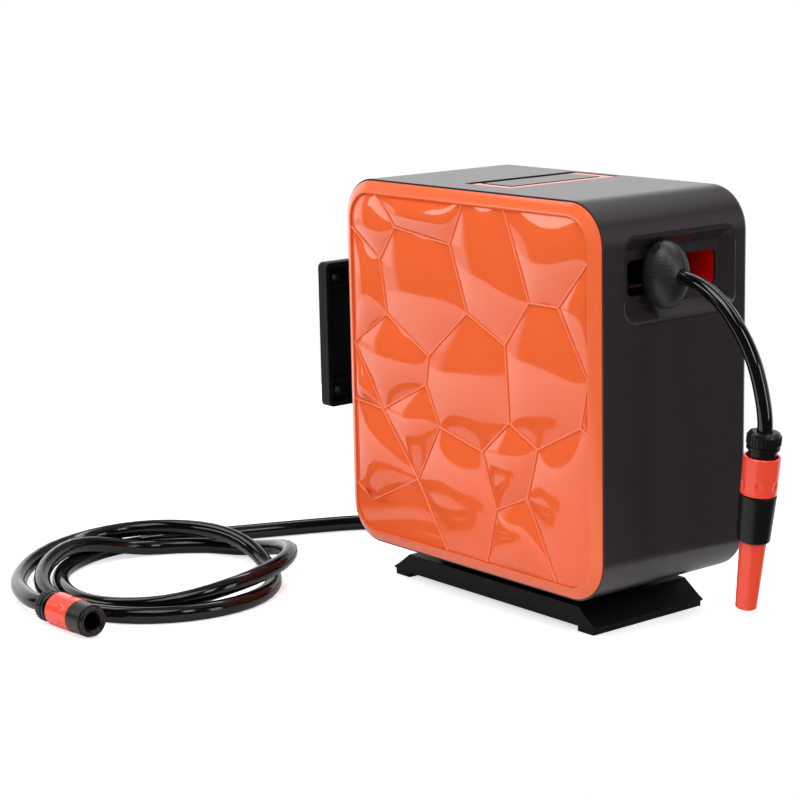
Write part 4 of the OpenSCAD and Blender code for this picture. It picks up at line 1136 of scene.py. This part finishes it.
@dataclass
class Studio:
    """Pale floor, white surroundings, soft lamps and the camera.

    Shiny surfaces see the floor brighten with its distance from the object, white walls on the far side and
    at the rear, and a grey ceiling. Dull surfaces get an even light from all sides.
    """

    azimuth: float = 51.18
    elevation: float = 11.517
    roll: float = -1.236
    focal_pixels: float = 2258.0
    place: Point = (1.65182, -1.51377, 0.65701)
    floor_radius: float = 1.05
    floor_middle: Pair = (-0.6, -0.45)
    floor_sides: int = 96
    floor_color: Rgb = srgb(236, 236, 238)
    floor_roughness: float = 0.9
    floor_specular: float = 0.1
    floor_lift: float = 0.62
    floor_fade: Ramp = Ramp(0.5, 1.3, 0.0, 1.0, smooth=False)
    far_side: Ramp = Ramp(0.36, 0.44, 0.05, 1.0)
    rear_wall: Ramp = Ramp(0.3, 0.7, 0.0, 0.45)
    horizon: Ramp = Ramp(-0.05, 0.05, 0.0, 1.0)
    ceiling: Ramp = Ramp(0.35, 0.6, 1.0, 0.2)
    even_light: float = 0.45
    lamps: tuple[Lamp, ...] = (
        Lamp("overhead", (0, 0.7, 2.2), (0, 0, 0.2), (2.4, 2.2), 7),
        Lamp("rear_strip", (-0.1, 0.8, 2.0), (0, 0, 0.2), (2.6, 0.15), 11),
        Lamp("right_strip", (1.85, -0.6, 1.8), (0.2, 0, 0.25), (0.4, 1.0), 9),
        Lamp("right_low", (2.2, 0.35, 0.7), (0.25, 0, 0.25), (0.5, 1.2), 9),
        Lamp("key_box", (0.4, -1.0, 2.15), (0.1, 0, 0.3), (1.2, 1.1), 18),
        Lamp("left_wall", (-2.3, -0.1, 0.75), (0, -0.1, 0.3), (2.2, 1.4), 7),
        Lamp("upper_left", (-1.5, -0.5, 2.1), (0, -0.1, 0.3), (1.0, 0.8), 8),
        Lamp("front_window", (-1.3, -1.9, 1.05), (0, -0.1, 0.25), (1.4, 0.5), 9),
        Lamp("front_fill", (0.4, -2.4, 1.6), (0, -0.1, 0.2), (1.8, 1.6), 4, mirrored=False),
    )

    def build(self) -> None:
        """Builds the floor, the surroundings, the lamps and the camera."""
        self._floor()
        self._surroundings()
        for lamp in self.lamps:
            lamp.hang()
        self._camera()

    def _camera(self) -> None:
        """Sets the camera where the photograph was taken from."""
        data = bpy.data.cameras.new("camera")
        data.sensor_width = SENSOR_WIDTH
        data.lens = SENSOR_WIDTH * self.focal_pixels / PHOTO_PIXELS
        camera = add_object("camera", data)
        a, e = math.radians(self.azimuth), math.radians(self.elevation)
        back = Vector((math.sin(a) * math.cos(e), -math.cos(a) * math.cos(e), math.sin(e)))
        tilt = Quaternion((0, 0, 1), math.radians(self.roll))
        camera.rotation_mode = "QUATERNION"
        camera.rotation_quaternion = (-back).to_track_quat("-Z", "Y") @ tilt
        camera.location = self.place
        bpy.context.scene.camera = camera

    def _floor(self) -> None:
        """Adds the pale floor, which keeps the object's shadow."""
        turns = np.linspace(0, 2 * math.pi, self.floor_sides, endpoint=False)
        x, y = self.floor_middle
        ring = [(x + self.floor_radius * math.cos(t), y + self.floor_radius * math.sin(t), 0) for t in turns]
        mesh = bpy.data.meshes.new("floor")
        mesh.from_pydata(ring, [], [list(range(len(ring)))])
        mesh.materials.append(self._floor_material())
        floor = add_object("floor", mesh)

    def _floor_material(self) -> bpy.types.Material:
        """Builds the floor's material, lifted towards white on the rays that show a background.

        Returns:
            The material.
        """
        made = bpy.data.materials.new("pale_floor")
        made.use_nodes = True
        tree = made.node_tree
        rays = tree.nodes.new("ShaderNodeLightPath").outputs
        ground = tree.nodes.new("ShaderNodeTexCoord").outputs["Object"]
        away = add_node(tree, "ShaderNodeVectorMath", ground, operation="LENGTH").outputs["Value"]
        mirrored = self.floor_fade.on(tree, away)
        direct = add_math(tree, "MAXIMUM", rays["Is Camera Ray"], rays["Is Transmission Ray"])
        share = add_math(tree, "MULTIPLY_ADD", rays["Is Glossy Ray"], mirrored, direct)
        lift = add_math(tree, "MULTIPLY", share, self.floor_lift)
        shader = tree.nodes["Principled BSDF"]
        set_inputs(shader, Base_Color=(*self.floor_color, 1), Roughness=self.floor_roughness)
        set_inputs(shader, Specular_IOR_Level=self.floor_specular)
        set_inputs(shader, Emission_Color=WHITE, Emission_Strength=lift)
        return made

    def _surroundings(self) -> None:
        """Sets the world: white for the camera, the walls for shiny surfaces, an even light for dull ones."""
        world = bpy.data.worlds.new("studio")
        bpy.context.scene.world = world
        world.use_nodes = True
        tree = world.node_tree
        tree.nodes.clear()
        way = tree.nodes.new("ShaderNodeTexCoord").outputs["Generated"]
        axis = add_node(tree, "ShaderNodeSeparateXYZ", way).outputs
        turn = math.radians(self.azimuth)
        ahead = (-math.sin(turn), math.cos(turn), 0)
        facing = add_node(tree, "ShaderNodeVectorMath", way, ahead, operation="DOT_PRODUCT").outputs["Value"]
        rear, above = self.rear_wall.on(tree, axis["Y"]), self.horizon.on(tree, axis["Z"])
        behind = add_math(tree, "MULTIPLY", rear, above)
        walls = add_math(tree, "MAXIMUM", self.far_side.on(tree, facing), behind)
        walls = add_math(tree, "MULTIPLY", walls, self.ceiling.on(tree, axis["Z"]))
        rays = tree.nodes.new("ShaderNodeLightPath").outputs
        strength = add_math(tree, "MAXIMUM", rays["Is Camera Ray"], walls)
        shown = add_math(tree, "MAXIMUM", rays["Is Camera Ray"], rays["Is Glossy Ray"])
        shown = add_math(tree, "MAXIMUM", shown, rays["Is Transmission Ray"])
        seen = add_node(tree, "ShaderNodeBackground", Color=WHITE, Strength=strength)
        even = add_node(tree, "ShaderNodeBackground", Color=WHITE, Strength=self.even_light)
        choose = add_node(tree, "ShaderNodeMixShader", shown, even.outputs[0], seen.outputs[0])
        add_node(tree, "ShaderNodeOutputWorld", Surface=choose.outputs[0])


def main() -> None:
    """Builds the object's looks and the studio."""
    logging.basicConfig(level=logging.INFO, format="%(name)s: %(message)s")
    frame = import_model()
    bpy.context.scene.view_settings.view_transform = "Standard"
    Solids().dress(frame)
    panel = FrontPanel()
    made = [panel.build_cells(), panel.build_beads(), panel.build_rim()]
    hoses = Hoses()
    made += [hoses.build_delivery(), hoses.build_leader(), hoses.build_winding()]
    made += hoses.build_ribs()
    made += ScrewRecesses().build()
    for piece in made:
        LOG.info("made %s", piece.name)
    Studio().build()


if __name__ == "__main__":
    main()
